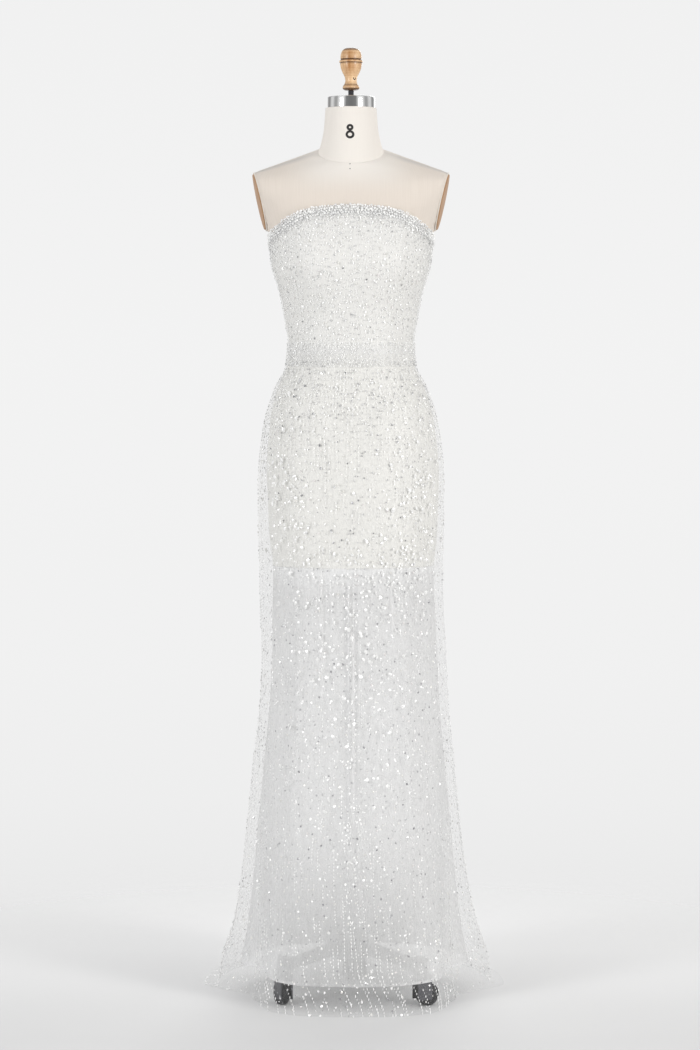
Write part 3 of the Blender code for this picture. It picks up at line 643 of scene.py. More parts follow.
def wovenFinish(name, light, dark, thread, slub, roughness, bumpDistance):
    made, tree, shader = newFinish(name, roughness)
    weave = woven(tree, thread, slub)
    plug(tree, shader["Base Color"], mixColour(tree, weave["Tone"], dark, light))
    relief = {"Strength": 0.5, "Distance": bumpDistance, "Height": weave["Height"]}
    plug(tree, shader["Normal"], newNode(tree, "ShaderNodeBump", relief).outputs[0])
    shader["Sheen Weight"].default_value = 0.15
    return made


def blended(made, share, colour):
    # Blends a finish to another colour
    tree = made.node_tree
    base = tree.nodes["Principled BSDF"].inputs["Base Color"]
    plug(tree, base, mixColour(tree, share, base.links[0].from_socket, colour))


def palerTowards(made, colour, low, high):
    # Paler between two heights, and only near the middle
    tree = made.node_tree
    parts = placeParts(tree)[1]
    rise = mapped(tree, parts[2], low, high, curve="SMOOTHSTEP")
    near = mapped(tree, mathNode(tree, "ABSOLUTE", parts[0]), 0.14, 0.04, curve="SMOOTHSTEP")
    blended(made, mathNode(tree, "MULTIPLY", rise, near), colour)


def netFinish(name, light, dark, clear, gatherShare, roughness, foot=(0.0, 1.0, 0.1, 0.0)):
    # See-through net, paler along its edges, with a fine uneven grain of thread, thicker where
    # it gathers and darker there, partly as painted shade in its folds. foot: how much painted shade
    # darkens it near the floor, its cover there, the height where that ends and the share of that
    # painted shade that is left at the sides.
    made, tree, shader = newFinish(name, roughness)
    shader["Sheen Weight"].default_value = 0.40
    shader["Sheen Roughness"].default_value = 0.5
    gathers = fieldOf(tree, "gather")
    speckle = noiseNode(tree, stretched(tree, clothMap(tree), (350, 105, 1)), 1.0, 2.5)
    grain = mapped(tree, speckle, 0.38, 0.60)
    worn = mathNode(tree, "MULTIPLY", mathNode(tree, "SUBTRACT", 1.0, grain), 0.62)
    shaded = mathNode(tree, "MAXIMUM", worn, mathNode(tree, "MULTIPLY", gathers, 0.55))
    parts = placeParts(tree)[1]
    aside = mathNode(tree, "ABSOLUTE", parts[0])
    # Painted shade near the floor, strongest in the middle, where the skirt covers the floor
    paintedFootShade = mathNode(tree, "MULTIPLY",
                      mapped(tree, parts[2], 0.02, 0.36, foot[0], 0.0, "SMOOTHSTEP"),
                      mapped(tree, aside, 0.08, 0.17, 1.0, foot[3], "SMOOTHSTEP"))
    toned = mixColour(tree, shaded, light, dark)
    plug(tree, shader["Base Color"], mixColour(tree, paintedFootShade, toned, (0.0, 0.0, 0.0)))
    uneven = mathNode(tree, "MULTIPLY", woven(tree, 0.0016, 1.0)["Tone"], 0.16)
    grainy = mathNode(tree, "MULTIPLY", mathNode(tree, "SUBTRACT", grain, 0.5), -0.10)
    gathered = mathNode(tree, "MULTIPLY", gathers, gatherShare)
    cover = mathNode(tree, "ADD", mathNode(tree, "ADD", uneven, 1 - clear - 0.08), gathered)
    cover = mathNode(tree, "MULTIPLY", mathNode(tree, "ADD", cover, grainy),
                     mapped(tree, parts[2], 0.03, foot[2], foot[1], 1.0, "SMOOTHSTEP"))
    plug(tree, shader["Alpha"], mapped(tree, cover, 0.0, 1.0))
    return made


# Light, backdrop and floor
studio = {"topGain": 1.08, "floorNear": 0.76, "floorFar": 0.93, "floorRadius": 3.0,
          "floorFade": 0.32, "floorGone": 1.50, "rings": 24, "spokes": 72}

# The backdrop as the camera sees it, with painted shade darkening it towards the floor in front:
# rise of the line of sight, grey
backdrop = [(-0.300, 0.690), (-0.218, 0.722), (-0.203, 0.748), (-0.187, 0.792), (-0.172, 0.815),
            (-0.157, 0.838), (-0.140, 0.856), (-0.100, 0.876), (0.000, 0.892), (0.120, 0.880)]
# The room round the camera, which only lights and is mirrored: degrees from behind it, grey
roomBands = [(0, 0.20), (24, 0.24), (38, 0.95), (60, 0.95), (74, 0.42), (86, 0.42), (98, 0.80),
             (112, 0.80), (124, 0.34), (146, 0.34), (158, 0.85), (180, 0.88)]


world = bpy.data.worlds.new("studioRoom")
bpy.context.scene.world = world
world.use_nodes = True
room = world.node_tree
roomParts = placeParts(room, "Generated")[1]
roomSeen = rampNode(room, roomParts[2], backdrop, -0.30, 0.12)
roomBehind = mathNode(room, "MULTIPLY", roomParts[1], -1.0)
roomAround = mathNode(room, "ABSOLUTE", mathNode(room, "ARCTAN2", roomParts[0], roomBehind))
roomTurn = mathNode(room, "MULTIPLY", roomAround, 180 / math.pi)
roomBand = rampNode(room, roomTurn, roomBands, 0.0, 180.0)
roomRay = newNode(room, "ShaderNodeLightPath").outputs["Is Camera Ray"]
roomShader = room.nodes["Background"].inputs
plug(room, roomShader["Color"], mixColour(room, roomRay, roomBand, roomSeen))
plug(room, roomShader["Strength"], mapped(room, roomParts[2], 0.25, 0.95, 1.0, studio["topGain"]))

lamps = {
    # place, width, height, power, colour
    "keySoftbox": ((3.3, -3.3, 1.75), 1.0, 2.6, 92.0, (1.0, 0.99, 0.975)),
    "fillSoftbox": ((-3.3, -3.3, 1.75), 1.0, 2.6, 74.0, (0.985, 0.992, 1.0)),
    "rearSoftbox": ((0.6, 3.2, 2.6), 1.6, 1.6, 26.0, (1.0, 1.0, 1.0)),
}
for name, (place, width, height, power, colour) in lamps.items():
    lampData = bpy.data.lights.new(name, "AREA")
    lampData.shape = "RECTANGLE"
    lampData.size = width
    lampData.size_y = height
    lampData.energy = power
    lampData.color = colour
    lamp = linked(name, lampData)
    lamp.location = place
    aim = np.array([0.0, standY, 0.9]) - np.array(place)
    level = math.hypot(aim[0], aim[1])
    lamp.rotation_euler = (math.atan2(level, -aim[2]), 0, math.atan2(aim[1], aim[0]) - math.pi / 2)

# Painted shade on the floor: its grey darkens towards the front, for the light falling off there
floorFinish, floorTree, floorShader = newFinish("paperFloor", 0.9)
floorPlace, floorParts = placeParts(floorTree)
floorAway = mapped(floorTree, floorParts[1], -0.50, 0.30)
near, far = [(studio[label],) * 3 for label in ("floorNear", "floorFar")]
plug(floorTree, floorShader["Base Color"], mixColour(floorTree, floorAway, near, far))
floorShader["Specular IOR Level"].default_value = 0.1
floorReach = newNode(floorTree, "ShaderNodeVectorMath", {0: floorPlace}, operation="LENGTH")
plug(floorTree, floorShader["Alpha"],
     mapped(floorTree, floorReach.outputs["Value"], studio["floorFade"], studio["floorGone"],
            1.0, 0.0, "SMOOTHSTEP"))

rings, spokes = studio["rings"], studio["spokes"]
floorPoints = [(0.0, 0.0, 0.0)]
for ring in range(1, rings + 1):
    radius = studio["floorRadius"] * (ring / rings) ** 1.4
    floorPoints += [(radius * math.cos(math.tau * s / spokes),
                     radius * math.sin(math.tau * s / spokes), 0.0) for s in range(spokes)]
floorFaces = [(0, 1 + s, 1 + (s + 1) % spokes) for s in range(spokes)]
floorFaces += [(a + 1, d + 1, c + 1, b + 1)
               for a, b, c, d in gridFaces(rings, spokes, wrap=True)]
meshObject("studioFloor", floorPoints, floorFaces, floorFinish)
print("stage ready")

# Finishes
linen = wovenFinish("naturalLinen", (0.865, 0.785, 0.705), (0.785, 0.705, 0.625), 0.0009, 1.4,
                    0.85, 0.00020)
palerTowards(linen, (0.900, 0.853, 0.795), 1.492, 1.552)
# Painted shade on the linen: greyer along the top of the shoulders, from the torso's field
blended(linen, fieldOf(linen.node_tree, "gather"), (0.52, 0.50, 0.48))
creamCloth = wovenFinish("creamCotton", (0.905, 0.858, 0.80), (0.875, 0.825, 0.765), 0.0007, 0.6,
                         0.75, 0.00010)
ivoryCloth = wovenFinish("ivoryLining", (0.862, 0.853, 0.822), (0.835, 0.825, 0.790), 0.0006, 0.5,
                         0.55, 0.00006)
outerNet = netFinish("beadedNet", (0.98, 0.98, 0.975), (0.64, 0.64, 0.635), 0.82, 0.34, 0.5,
                     (0.26, 0.32, 0.085, 1.0))
bodiceNet = netFinish("bodiceNet", (1.0, 1.0, 1.0), (0.91, 0.91, 0.91), 0.62, 0.20, 0.45)
plainNet = netFinish("plainNet", (0.91, 0.91, 0.91), (0.76, 0.76, 0.76), 0.37, 0.46, 0.6,
                     (0.34, 1.32, 0.40, 0.15))
trimNet = netFinish("trimNet", (0.98, 0.98, 0.98), (0.88, 0.88, 0.885), 0.97, 0.36, 0.4)
finishes = {
    # light tone, dark tone, scale of the unevenness, roughness, metal
    "tanBoard": ((0.56, 0.34, 0.19), (0.40, 0.22, 0.11), 60.0, 0.5, 0.0),
    "creamPiping": ((0.88, 0.835, 0.77), (0.80, 0.745, 0.67), 300.0, 0.8, 0.0),
    "brushedCap": ((0.83, 0.83, 0.825), (0.74, 0.74, 0.735), 90.0, 0.10, 1.0),
    "poleChrome": ((0.88, 0.88, 0.89), (0.80, 0.80, 0.81), 30.0, 0.24, 1.0),
    "darkMetal": ((0.13, 0.13, 0.14), (0.07, 0.07, 0.08), 80.0, 0.42, 0.7),
    "greyIron": ((0.52, 0.52, 0.525), (0.44, 0.44, 0.445), 70.0, 0.5, 0.0),
    "blackRubber": ((0.030, 0.030, 0.032), (0.012, 0.012, 0.014), 120.0, 0.55, 0.0),
    "zipMetal": ((0.74, 0.75, 0.77), (0.60, 0.61, 0.63), 300.0, 0.25, 1.0),
    "inkBlack": ((0.030, 0.028, 0.028), (0.015, 0.014, 0.014), 200.0, 0.6, 0.0),
}
finishes = {name: mottledFinish(name, *values) for name, values in finishes.items()}


# How dark the knob is at its ends, with painted shade, and in its grooves, with patina: height,
# share
knobPatinaAndShade = [(1.6947, 1.00), (1.6983, 0.90), (1.7003, 0.05), (1.7036, 0.50), (1.7052, 0.70),
              (1.7085, 0.10), (1.7200, 0.04), (1.7420, 0.00), (1.7446, 0.35), (1.7463, 0.95),
              (1.7478, 0.00), (1.7495, 0.00), (1.7506, 0.60), (1.7514, 1.00), (1.7528, 1.00),
              (1.7546, 0.15), (1.7670, 0.10), (1.7705, 0.80), (1.7738, 1.00)]


def knobFinish():
    made, tree, shader = newFinish("turnedWood", 0.42)
    place, parts = placeParts(tree)
    grain = noiseNode(tree, stretched(tree, place, (55, 55, 6)), 1.0, 4.0)
    rings = noiseNode(tree, stretched(tree, place, (6, 6, 260)), 1.0, 2.0)
    both = mathNode(tree, "ADD", mathNode(tree, "MULTIPLY", grain, 0.75),
                    mathNode(tree, "MULTIPLY", rings, 0.25))
    wood = mixColour(tree, mapped(tree, both, 0.38, 0.62), (0.47, 0.215, 0.070),
                     (1.0, 0.69, 0.40))
    # Patina in the grooves, and painted shade at the foot and the crown
    worn = rampNode(tree, parts[2], knobPatinaAndShade, knobPatinaAndShade[0][0], knobPatinaAndShade[-1][0])
    plug(tree, shader["Base Color"], mixColour(tree, worn, wood, (0.13, 0.055, 0.018)))
    shader["Coat Weight"].default_value = 0.35
    shader["Coat Roughness"].default_value = 0.2
    return made


def sequinFinish(name, tones, roughness, metallic):
    # Each sequin or bead has one tone, from its own random value: painted reflections, from dark
    # grey up to white glints
    made, tree, shader = newFinish(name, roughness, metallic)
    tone = rampNode(tree, fieldOf(tree, "shade"), tones, curve="CONSTANT")
    plug(tree, shader["Base Color"], tone)
    return made


turnedWood = knobFinish()
# Sequins: dark painted reflections up to white painted glints
sequinTones = [(0.0, (0.32, 0.32, 0.33)), (0.11, (0.50, 0.50, 0.51)), (0.26, (0.72, 0.72, 0.72)),
               (0.44, (0.88, 0.87, 0.83)), (0.56, (0.88, 0.85, 0.84)), (0.64, (1.0, 1.0, 0.99))]
sequinSilver = sequinFinish("silverSequin", sequinTones, 0.22, 0.25)
beadTones = [(0.0, (0.48, 0.48, 0.49)), (0.14, (0.68, 0.68, 0.69)), (0.32, (0.88, 0.88, 0.88)),
             (0.58, (0.99, 0.99, 0.98))]
beadSilver = sequinFinish("silverBead", beadTones, 0.25, 0.15)
pearlTones = [(0.0, (0.84, 0.84, 0.84)), (0.3, (0.93, 0.93, 0.92)), (0.7, (1.0, 1.0, 0.99))]
pearlWhite = sequinFinish("pearl", pearlTones, 0.28, 0.0)
print("finishes ready")


# Points over a cloth, each with the way it faces

def framesAt(surface, angle, height):
    out = outwardOf(surface, angle, height)
    up = surface(angle, height + 0.0006) - surface(angle, height - 0.0006)
    up = up - out * (up * out).sum(-1, keepdims=True)
    up = up / np.linalg.norm(up, axis=-1, keepdims=True)
    across = np.cross(up, out)
    return across, up, out


def eulersOf(across, up, out):
    # The turn, as XYZ angles, that brings X, Y and Z onto these three directions
    return np.stack([np.arctan2(up[..., 2], out[..., 2]),
                     -np.arcsin(np.clip(across[..., 2], -1, 1)),
                     np.arctan2(across[..., 1], across[..., 0])], axis=-1)


def distances(line):
    # How far along a line each of its points is
    return np.concatenate([[0], np.cumsum(np.linalg.norm(np.diff(line, axis=0), axis=1))])


def spacedOver(surface, first, last, heights, spacing, jitter=0.45):
    # Rows of places at even steps along each height, shaken
    angles, levels = [], []
    fine = np.linspace(first, last, 241)
    for row, height in enumerate(heights):
        angle = angleOf(fine, np.full(fine.shape, height))
        along = distances(surface(angle, np.full(fine.shape, height)))
        count = max(2, int(along[-1] / spacing))
        at = (np.arange(count) + 0.5 * (row % 2) + 0.25
              + chance.uniform(-jitter, jitter, count)) * along[-1] / count
        at = np.clip(at, spacing * 0.2, along[-1] - spacing * 0.2)
        angles.append(np.interp(at, along, angle))
        step = heights[min(row + 1, len(heights) - 1)] - heights[max(row - 1, 0)]
        levels.append(height + chance.uniform(-jitter, jitter, count) * step / 2)
    return np.concatenate(angles), np.concatenate(levels)


def scatterTree(name, source, inputs, **settings):
    # Geometry Nodes that set one small shape on each point, shaken by a fixed seed
    tree = bpy.data.node_groups.new(name, "GeometryNodeTree")
    tree.interface.new_socket("Points", in_out="INPUT", socket_type="NodeSocketGeometry")
    for label, value in (("Width", 0.003), ("Length", 0.004), ("Depth", 0.001), ("Tilt", 0.3),
                         ("Turn", 0.5), ("Size Spread", 0.2), ("Seed", 1)):
        kind = "NodeSocketInt" if label == "Seed" else "NodeSocketFloat"
        tree.interface.new_socket(label, in_out="INPUT", socket_type=kind).default_value = value
    tree.interface.new_socket("Finish", in_out="INPUT", socket_type="NodeSocketMaterial")
    tree.interface.new_socket("Beads", in_out="OUTPUT", socket_type="NodeSocketGeometry")
    entry = newNode(tree, "NodeGroupInput").outputs
    shape = newNode(tree, source, inputs, **settings).outputs["Mesh"]
    scales = {axis: entry[label] for axis, label in enumerate(("Width", "Length", "Depth"))}
    size = newNode(tree, "ShaderNodeCombineXYZ", scales).outputs[0]
    sized = newNode(tree, "GeometryNodeTransform", {"Geometry": shape, "Scale": size})
    fields = {}
    for label, kind in (("facing", "FLOAT_VECTOR"), ("grow", "FLOAT")):
        field = newNode(tree, "GeometryNodeInputNamedAttribute", {"Name": label}, data_type=kind)
        fields[label] = field.outputs["Attribute"]
    shakes, ends = [], []
    for sign in (-1, 1):
        limits = {axis: mathNode(tree, "MULTIPLY", entry[label], sign)
                  for axis, label in enumerate(("Tilt", "Tilt", "Turn"))}
        shakes.append(newNode(tree, "ShaderNodeCombineXYZ", limits).outputs[0])
        ends.append(mathNode(tree, "MULTIPLY_ADD", entry["Size Spread"], sign, 1.0))
    draws = []
    for kind, (low, high) in (("FLOAT_VECTOR", shakes), ("FLOAT", ends)):
        draw = newNode(tree, "FunctionNodeRandomValue", {"Seed": entry["Seed"]}, data_type=kind)
        for label, value in (("Min", low), ("Max", high)):
            plug(tree, [s for s in draw.inputs if s.name == label and s.enabled][0], value)
        draws.append([s for s in draw.outputs if s.enabled][0])
    turns = [newNode(tree, "FunctionNodeEulerToRotation", {0: value}).outputs[0]
             for value in (fields["facing"], draws[0])]
    turned = newNode(tree, "FunctionNodeRotateRotation",
                     {"Rotation": turns[0], "Rotate By": turns[1]}, rotation_space="LOCAL")
    placed = newNode(tree, "GeometryNodeInstanceOnPoints",
                     {"Points": entry["Points"], "Instance": sized.outputs["Geometry"],
                      "Rotation": turned.outputs[0],
                      "Scale": mathNode(tree, "MULTIPLY", draws[1], fields["grow"])})
    real = newNode(tree, "GeometryNodeRealizeInstances",
                   {"Geometry": placed.outputs["Instances"]})
    painted = newNode(tree, "GeometryNodeSetMaterial",
                      {"Geometry": real.outputs["Geometry"], "Material": entry["Finish"]})
    newNode(tree, "NodeGroupOutput", {"Beads": painted.outputs["Geometry"]})
    return tree


cupTree = scatterTree("cupSequins", "GeometryNodeMeshCone",
                      {"Vertices": 6, "Radius Top": 0.0, "Radius Bottom": 0.5, "Depth": 1.0},
                      fill_type="NONE")
beadTree = scatterTree("smallBeads", "GeometryNodeMeshIcoSphere",
                       {"Radius": 0.5, "Subdivisions": 1})
pearlTree = scatterTree("roundPearls", "GeometryNodeMeshIcoSphere",
                        {"Radius": 0.5, "Subdivisions": 2})
beadKinds = {
    # tree, width, length, depth, tilt, turn, spread of sizes, seed, lift off the cloth, finish
    "sequins": (cupTree, 0.0034, 0.0046, 0.0006, 0.42, 0.9, 0.30, 3, 0.0011, sequinSilver),
    "waist": (beadTree, 0.0016, 0.0036, 0.0014, 0.2, 0.3, 0.25, 29, 0.0009, beadSilver),
    "string": (beadTree, 0.0012, 0.0040, 0.0012, 0.2, 0.25, 0.2, 5, 0.0009, beadSilver),
    "bodiceSequins": (cupTree, 0.0032, 0.0042, 0.0005, 0.35, 0.9, 0.25, 11, 0.0010,
                      sequinSilver),
    "bodice": (beadTree, 0.0019, 0.0026, 0.0016, 0.3, 0.5, 0.25, 13, 0.0012, beadSilver),
    "pearls": (pearlTree, 0.0038, 0.0038, 0.0038, 0.1, 0.1, 0.28, 17, 0.0014, pearlWhite),
    "trim": (beadTree, 0.0022, 0.0026, 0.0018, 0.3, 0.8, 0.2, 19, 0.0007, beadSilver),
    "band": (beadTree, 0.0018, 0.0034, 0.0016, 0.15, 0.25, 0.2, 23, 0.0008, beadSilver),
}
leastBeadHeight = 0.0028


def beadsOn(name, kind, surface, angle, height, shade, grow):
    # Sets one kind of bead on a cloth's face, as a plain mesh
    tree, *sizes, lift, finish = beadKinds[kind]
    across, up, out = framesAt(surface, angle, height)
    points = surface(angle, height) + out * lift
    points[:, 2] = np.maximum(points[:, 2], leastBeadHeight)
    mesh = bpy.data.meshes.new(name + "Points")
    mesh.from_pydata((points + np.array([0.0, standY, 0.0])).tolist(), [], [])
    # Each bead's random tone value, a painted reflection from dark grey up to a white painted glint
    for label, layout, field, values in (
            ("facing", "FLOAT_VECTOR", "vector", eulersOf(across, up, out).ravel()),
            ("shade", "FLOAT", "value", shade), ("grow", "FLOAT", "value", grow)):
        mesh.attributes.new(label, layout, "POINT").data.foreach_set(field, values)
    holder = linked(name + "Points", mesh)
    modifier = holder.modifiers.new("scatter", "NODES")
    modifier.node_group = tree
    ids = {item.name: item.identifier for item in tree.interface.items_tree
           if item.item_type == "SOCKET" and item.in_out == "INPUT"}
    for label, value in zip(("Width", "Length", "Depth", "Tilt", "Turn", "Size Spread", "Seed",
                             "Finish"), (*sizes, finish)):
        modifier[ids[label]] = value
    graph = bpy.context.evaluated_depsgraph_get()
    real = bpy.data.meshes.new_from_object(holder.evaluated_get(graph))
    real.name = name
    bpy.data.objects.remove(holder)
    for spare in ("facing", "grow"):
        if spare in real.attributes:
            real.attributes.remove(real.attributes[spare])
    real.polygons.foreach_set("use_smooth", [kind == "pearls"] * len(real.polygons))
    print(name, len(points), "set,", len(real.polygons), "faces")
    return given(linked(name, real))


# The dress form

def closedGrid(name, grid, material, marked=None):
    # A tube whose first and last columns meet, welded, with flat ends
    made = gridObject(name, grid, material, marked)[0]
    shape = bmesh.new()
    shape.from_mesh(made.data)
    bmesh.ops.remove_doubles(shape, verts=shape.verts, dist=1e-6)
    rims = [edge for edge in shape.edges if edge.is_boundary]
    bmesh.ops.holes_fill(shape, edges=rims, sides=0)
    shape.to_mesh(made.data)
    shape.free()
    crispEdges(made, 50)
    return made


formSizes = {"columnSplits": 4, "neckRadii": np.array([(0.0, 0.0606), (0.25, 0.0548),
                                                      (0.5, 0.0508), (1.0, 0.0475)]),
             "neckSunk": -0.035,
             "padding": 0.0011, "softening": 24}


def torsoGrid(splits):
    guide = np.linspace(-17, 17, 34 * splits + 1)
    top = edgeOver(guide)
    levels = [np.full(guide.shape, z) for z in np.linspace(0.862, dress["bandTop"], 26)]
    levels += [dress["bandTop"] + (top - dress["bandTop"]) * share
               for share in np.linspace(0.06, 1.0, 18)]
    levels += [top + (1.515 - top) * share for share in np.linspace(0.12, 1.0, 8)]
    levels += [np.full(guide.shape, z) for z in
               (1.520, 1.524, 1.528, 1.532, 1.5352, 1.5385, 1.541, 1.5445, 1.5475, 1.550, 1.556,
                1.562, 1.5675, 1.573, 1.5765, form["neckFoot"])]
    height = np.array(levels)
    angle = angleOf(np.broadcast_to(guide, height.shape), height)
    padding = formSizes["padding"] * eased((1.44 - height) / 0.04)
    out = outwardOf(torsoBase, angle, height)
    grid = torsoBase(angle, height) + out * padding[..., None]
    grid[:, -1] = grid[:, 0]
    # Softened rows from the chest up to the neck, apart from the boards and the shoulder's tip
    free = eased((0.165 - np.abs(grid[:, :, :1])) / 0.03) * eased((height[:, :, None] - 1.49) / 0.02)
    for _ in range(formSizes["softening"]):
        middle = (grid[:-2] + grid[2:]) / 2
        grid[1:-1] += 0.5 * free[1:-1] * (middle - grid[1:-1])
    # Painted shade: grey along the top of the shoulders, which face up, away from the lamps
    turned = np.clip(1 - np.abs(grid[..., 1]) / 0.020, 0.0, 1.0)
    ridge = turned * eased((height - 1.535) / 0.006) * eased((np.abs(grid[..., 0]) - 0.055) / 0.05)
    return grid, 0.62 * ridge


torsoShape, torsoShoulderShade = torsoGrid(formSizes["columnSplits"])
given(closedGrid("linen_torso", torsoShape, linen, torsoShoulderShade), "form_torso")


def neckRadius(share):
    return smoothCurve(formSizes["neckRadii"], 1, share)


def neckPoint(turn, share, out=0.0):
    radius = neckRadius(share) + out
    x = radius * np.sin(turn)
    y = -radius * np.cos(turn) * (0.925 + 0.075 * share)
    foot = form["neckFoot"] + 0.0003 + form["neckTilt"] * y / 0.056
    return np.stack([x, y, foot + (form["neckTop"] - foot) * share], axis=-1)


neckTurns, neckShares = np.meshgrid(np.linspace(-math.pi, math.pi, 97),
                                    np.linspace(formSizes["neckSunk"], 1.0, 29))
neckGrid = neckPoint(neckTurns, neckShares)
neckGrid[:, -1] = neckGrid[:, 0]
given(closedGrid("cream_neck", neckGrid, creamCloth), "form_neck")

# The size mark, flat ink on the neck, and two pins below it
mark = {"z": 1.6165, "right": -0.0019, "stroke": 0.0043, "upper": (0.0064, 0.0060, 0.0066),
        "lower": (0.0082, 0.0076, -0.0065), "steps": 40, "lift": 0.00025}


def sizeMark():
    points, faces = [], []
    half = mark["stroke"] / 2
    for wide, tall, rise in (mark["upper"], mark["lower"]):
        start = len(points)
        for i in range(mark["steps"]):
            turn = math.tau * i / mark["steps"]
            for edge in (-half, half):
                x = mark["right"] + (wide - half + edge) * math.cos(turn)
                z = mark["z"] + rise + (tall - half + edge) * math.sin(turn)
                share = (z - form["neckFoot"]) / (form["neckTop"] - form["neckFoot"])
                for _ in range(4):
                    around = math.asin(x / float(neckRadius(share) + mark["lift"]))
                    placed = neckPoint(around, share, mark["lift"])
                    share += (z - placed[2]) / (form["neckTop"] - form["neckFoot"])
                points.append(neckPoint(around, share, mark["lift"]))
        for i in range(mark["steps"]):
            a, b = start + 2 * i, start + 2 * ((i + 1) % mark["steps"])
            faces.append((a, a + 1, b + 1, b))
    return points, faces


given(meshObject("size_mark", *sizeMark(), finishes["inkBlack"]))


def lathe(name, profile, centre, sides, material, axis=(0.0, 0.0, 1.0), closed=False):
    # A turned piece from rows of (along, radius)
    axis = np.array(axis, float) / np.linalg.norm(axis)
    level = np.cross(axis, (0.0, 0.0, 1.0))
    first = np.array([1.0, 0.0, 0.0]) if np.linalg.norm(level) < 1e-6 else level
    first = first / np.linalg.norm(first)
    second = np.cross(axis, first)
    points, rows = [], []
    for along, radius in profile:
        if radius == 0.0:
            rows.append([len(points)])
            points.append(np.array(centre) + axis * along)
            continue
        ring = np.arange(sides) * math.tau / sides
        rows.append(list(range(len(points), len(points) + sides)))
        points += list(np.array(centre) + axis * along + radius
                       * (np.outer(np.cos(ring), first) + np.outer(np.sin(ring), second)))
    faces = []
    for low, high in zip(rows, rows[1:] + rows[:1] * closed):
        for i in range(sides):
            k = (i + 1) % sides
            if len(low) == 1:
                faces.append((low[0], high[k], high[i]))
            elif len(high) == 1:
                faces.append((low[i], low[k], high[0]))
            else:
                faces.append((low[i], low[k], high[k], high[i]))
    made = meshObject(name, points, faces, material)
    crispEdges(made, 38)
    return made


def fineProfile(rows, steps):
    # More rows along a profile, on a smooth curve through its own
    rows = np.array(rows)
    along = np.concatenate([[0], np.cumsum(np.hypot(*np.diff(rows, axis=0).T))])
    table = np.column_stack([along, rows])
    at = np.linspace(0, along[-1], steps)
    return [(float(z), float(r)) for z, r in zip(smoothCurve(table, 1, at),
                                                 smoothCurve(table, 2, at))]


# The knob, above its foot: flange, waist, bulb, turned ring, groove and crown
knobSizes = {"foot": 1.6947, "sides": 56,
             "flange": [(0.0000, 0.0080), (0.0005, 0.0106), (0.0014, 0.0130), (0.0028, 0.0149),
                        (0.0042, 0.0156), (0.0056, 0.0157), (0.0080, 0.0151), (0.0095, 0.0144),
                        (0.0102, 0.0136)],
             "bulb": [(0.0102, 0.0136), (0.0135, 0.0118), (0.0180, 0.0107), (0.0240, 0.0114),
                      (0.0290, 0.0136), (0.0345, 0.0164), (0.0420, 0.0190), (0.0500, 0.0203),
                      (0.0512, 0.0203)],
             "ring": [(0.0514, 0.0197), (0.0518, 0.0197), (0.0520, 0.0212), (0.0523, 0.0221),
                      (0.0529, 0.0222), (0.0540, 0.0219), (0.0552, 0.0214), (0.0560, 0.0209),
                      (0.0564, 0.0202), (0.0568, 0.0192), (0.0576, 0.0190), (0.0582, 0.0193)],
             "crown": [(0.0584, 0.0197), (0.0630, 0.0197), (0.0675, 0.0191), (0.0710, 0.0180),
                       (0.0740, 0.0163), (0.0765, 0.0139), (0.0780, 0.0115), (0.0787, 0.0088),
                       (0.0790, 0.0040)]}
knobRows = ([(0.0, 0.0)] + knobSizes["flange"] + fineProfile(knobSizes["bulb"], 24)[1:]
            + knobSizes["ring"] + fineProfile(knobSizes["crown"], 16) + [(0.0790, 0.0)])
given(lathe("turned_knob", [(knobSizes["foot"] + z, r) for z, r in knobRows], (0, 0, 0),
            knobSizes["sides"], turnedWood), "knob")
given(lathe("knob_set_screw", [(-0.002, 0.0), (-0.002, 0.0030), (0.0005, 0.0030),
                               (0.0005, 0.0018), (-0.0008, 0.0)],
            (0.0062, -0.0087, knobSizes["foot"] + 0.0222), 16, finishes["inkBlack"],
            axis=(0.58, -0.815, 0.0)))
chest = torsoShape[:, torsoShape.shape[1] // 2]
chestRows = chest[:, 2] > 1.50
for i, z in ((1, 1.5552), (2, 1.5462)):
    onChest = (mark["right"], float(np.interp(z, chest[chestRows, 2], chest[chestRows, 1])), z)
    given(lathe(f"neck_pin_{i}", [(-0.001, 0.0), (-0.001, 0.0010), (0.0003, 0.0010),
                                  (0.0006, 0.0006), (0.0007, 0.0)],
                onChest, 12, finishes["darkMetal"], axis=(0.0, -1.0, 0.35)))
given(lathe("steel_cap", [(1.6622, 0.0), (1.6622, 0.0436), (1.6625, 0.0440), (1.6632, 0.0440),
                          (1.6812, 0.0440), (1.6821, 0.0437), (1.6827, 0.0429),
                          (1.6829, 0.0412), (1.6829, 0.0)],
            (0, 0, 0), 128, finishes["brushedCap"]), "neck_cap")
thread = [(1.6832 + 0.0010 * i, 0.0055 - 0.0006 * (i % 2)) for i in range(12)]
given(lathe("knob_thread", [(1.6832, 0.0), *thread, (1.6944, 0.0)], (0, 0, 0), 32,
            finishes["darkMetal"]), "knob_stem")


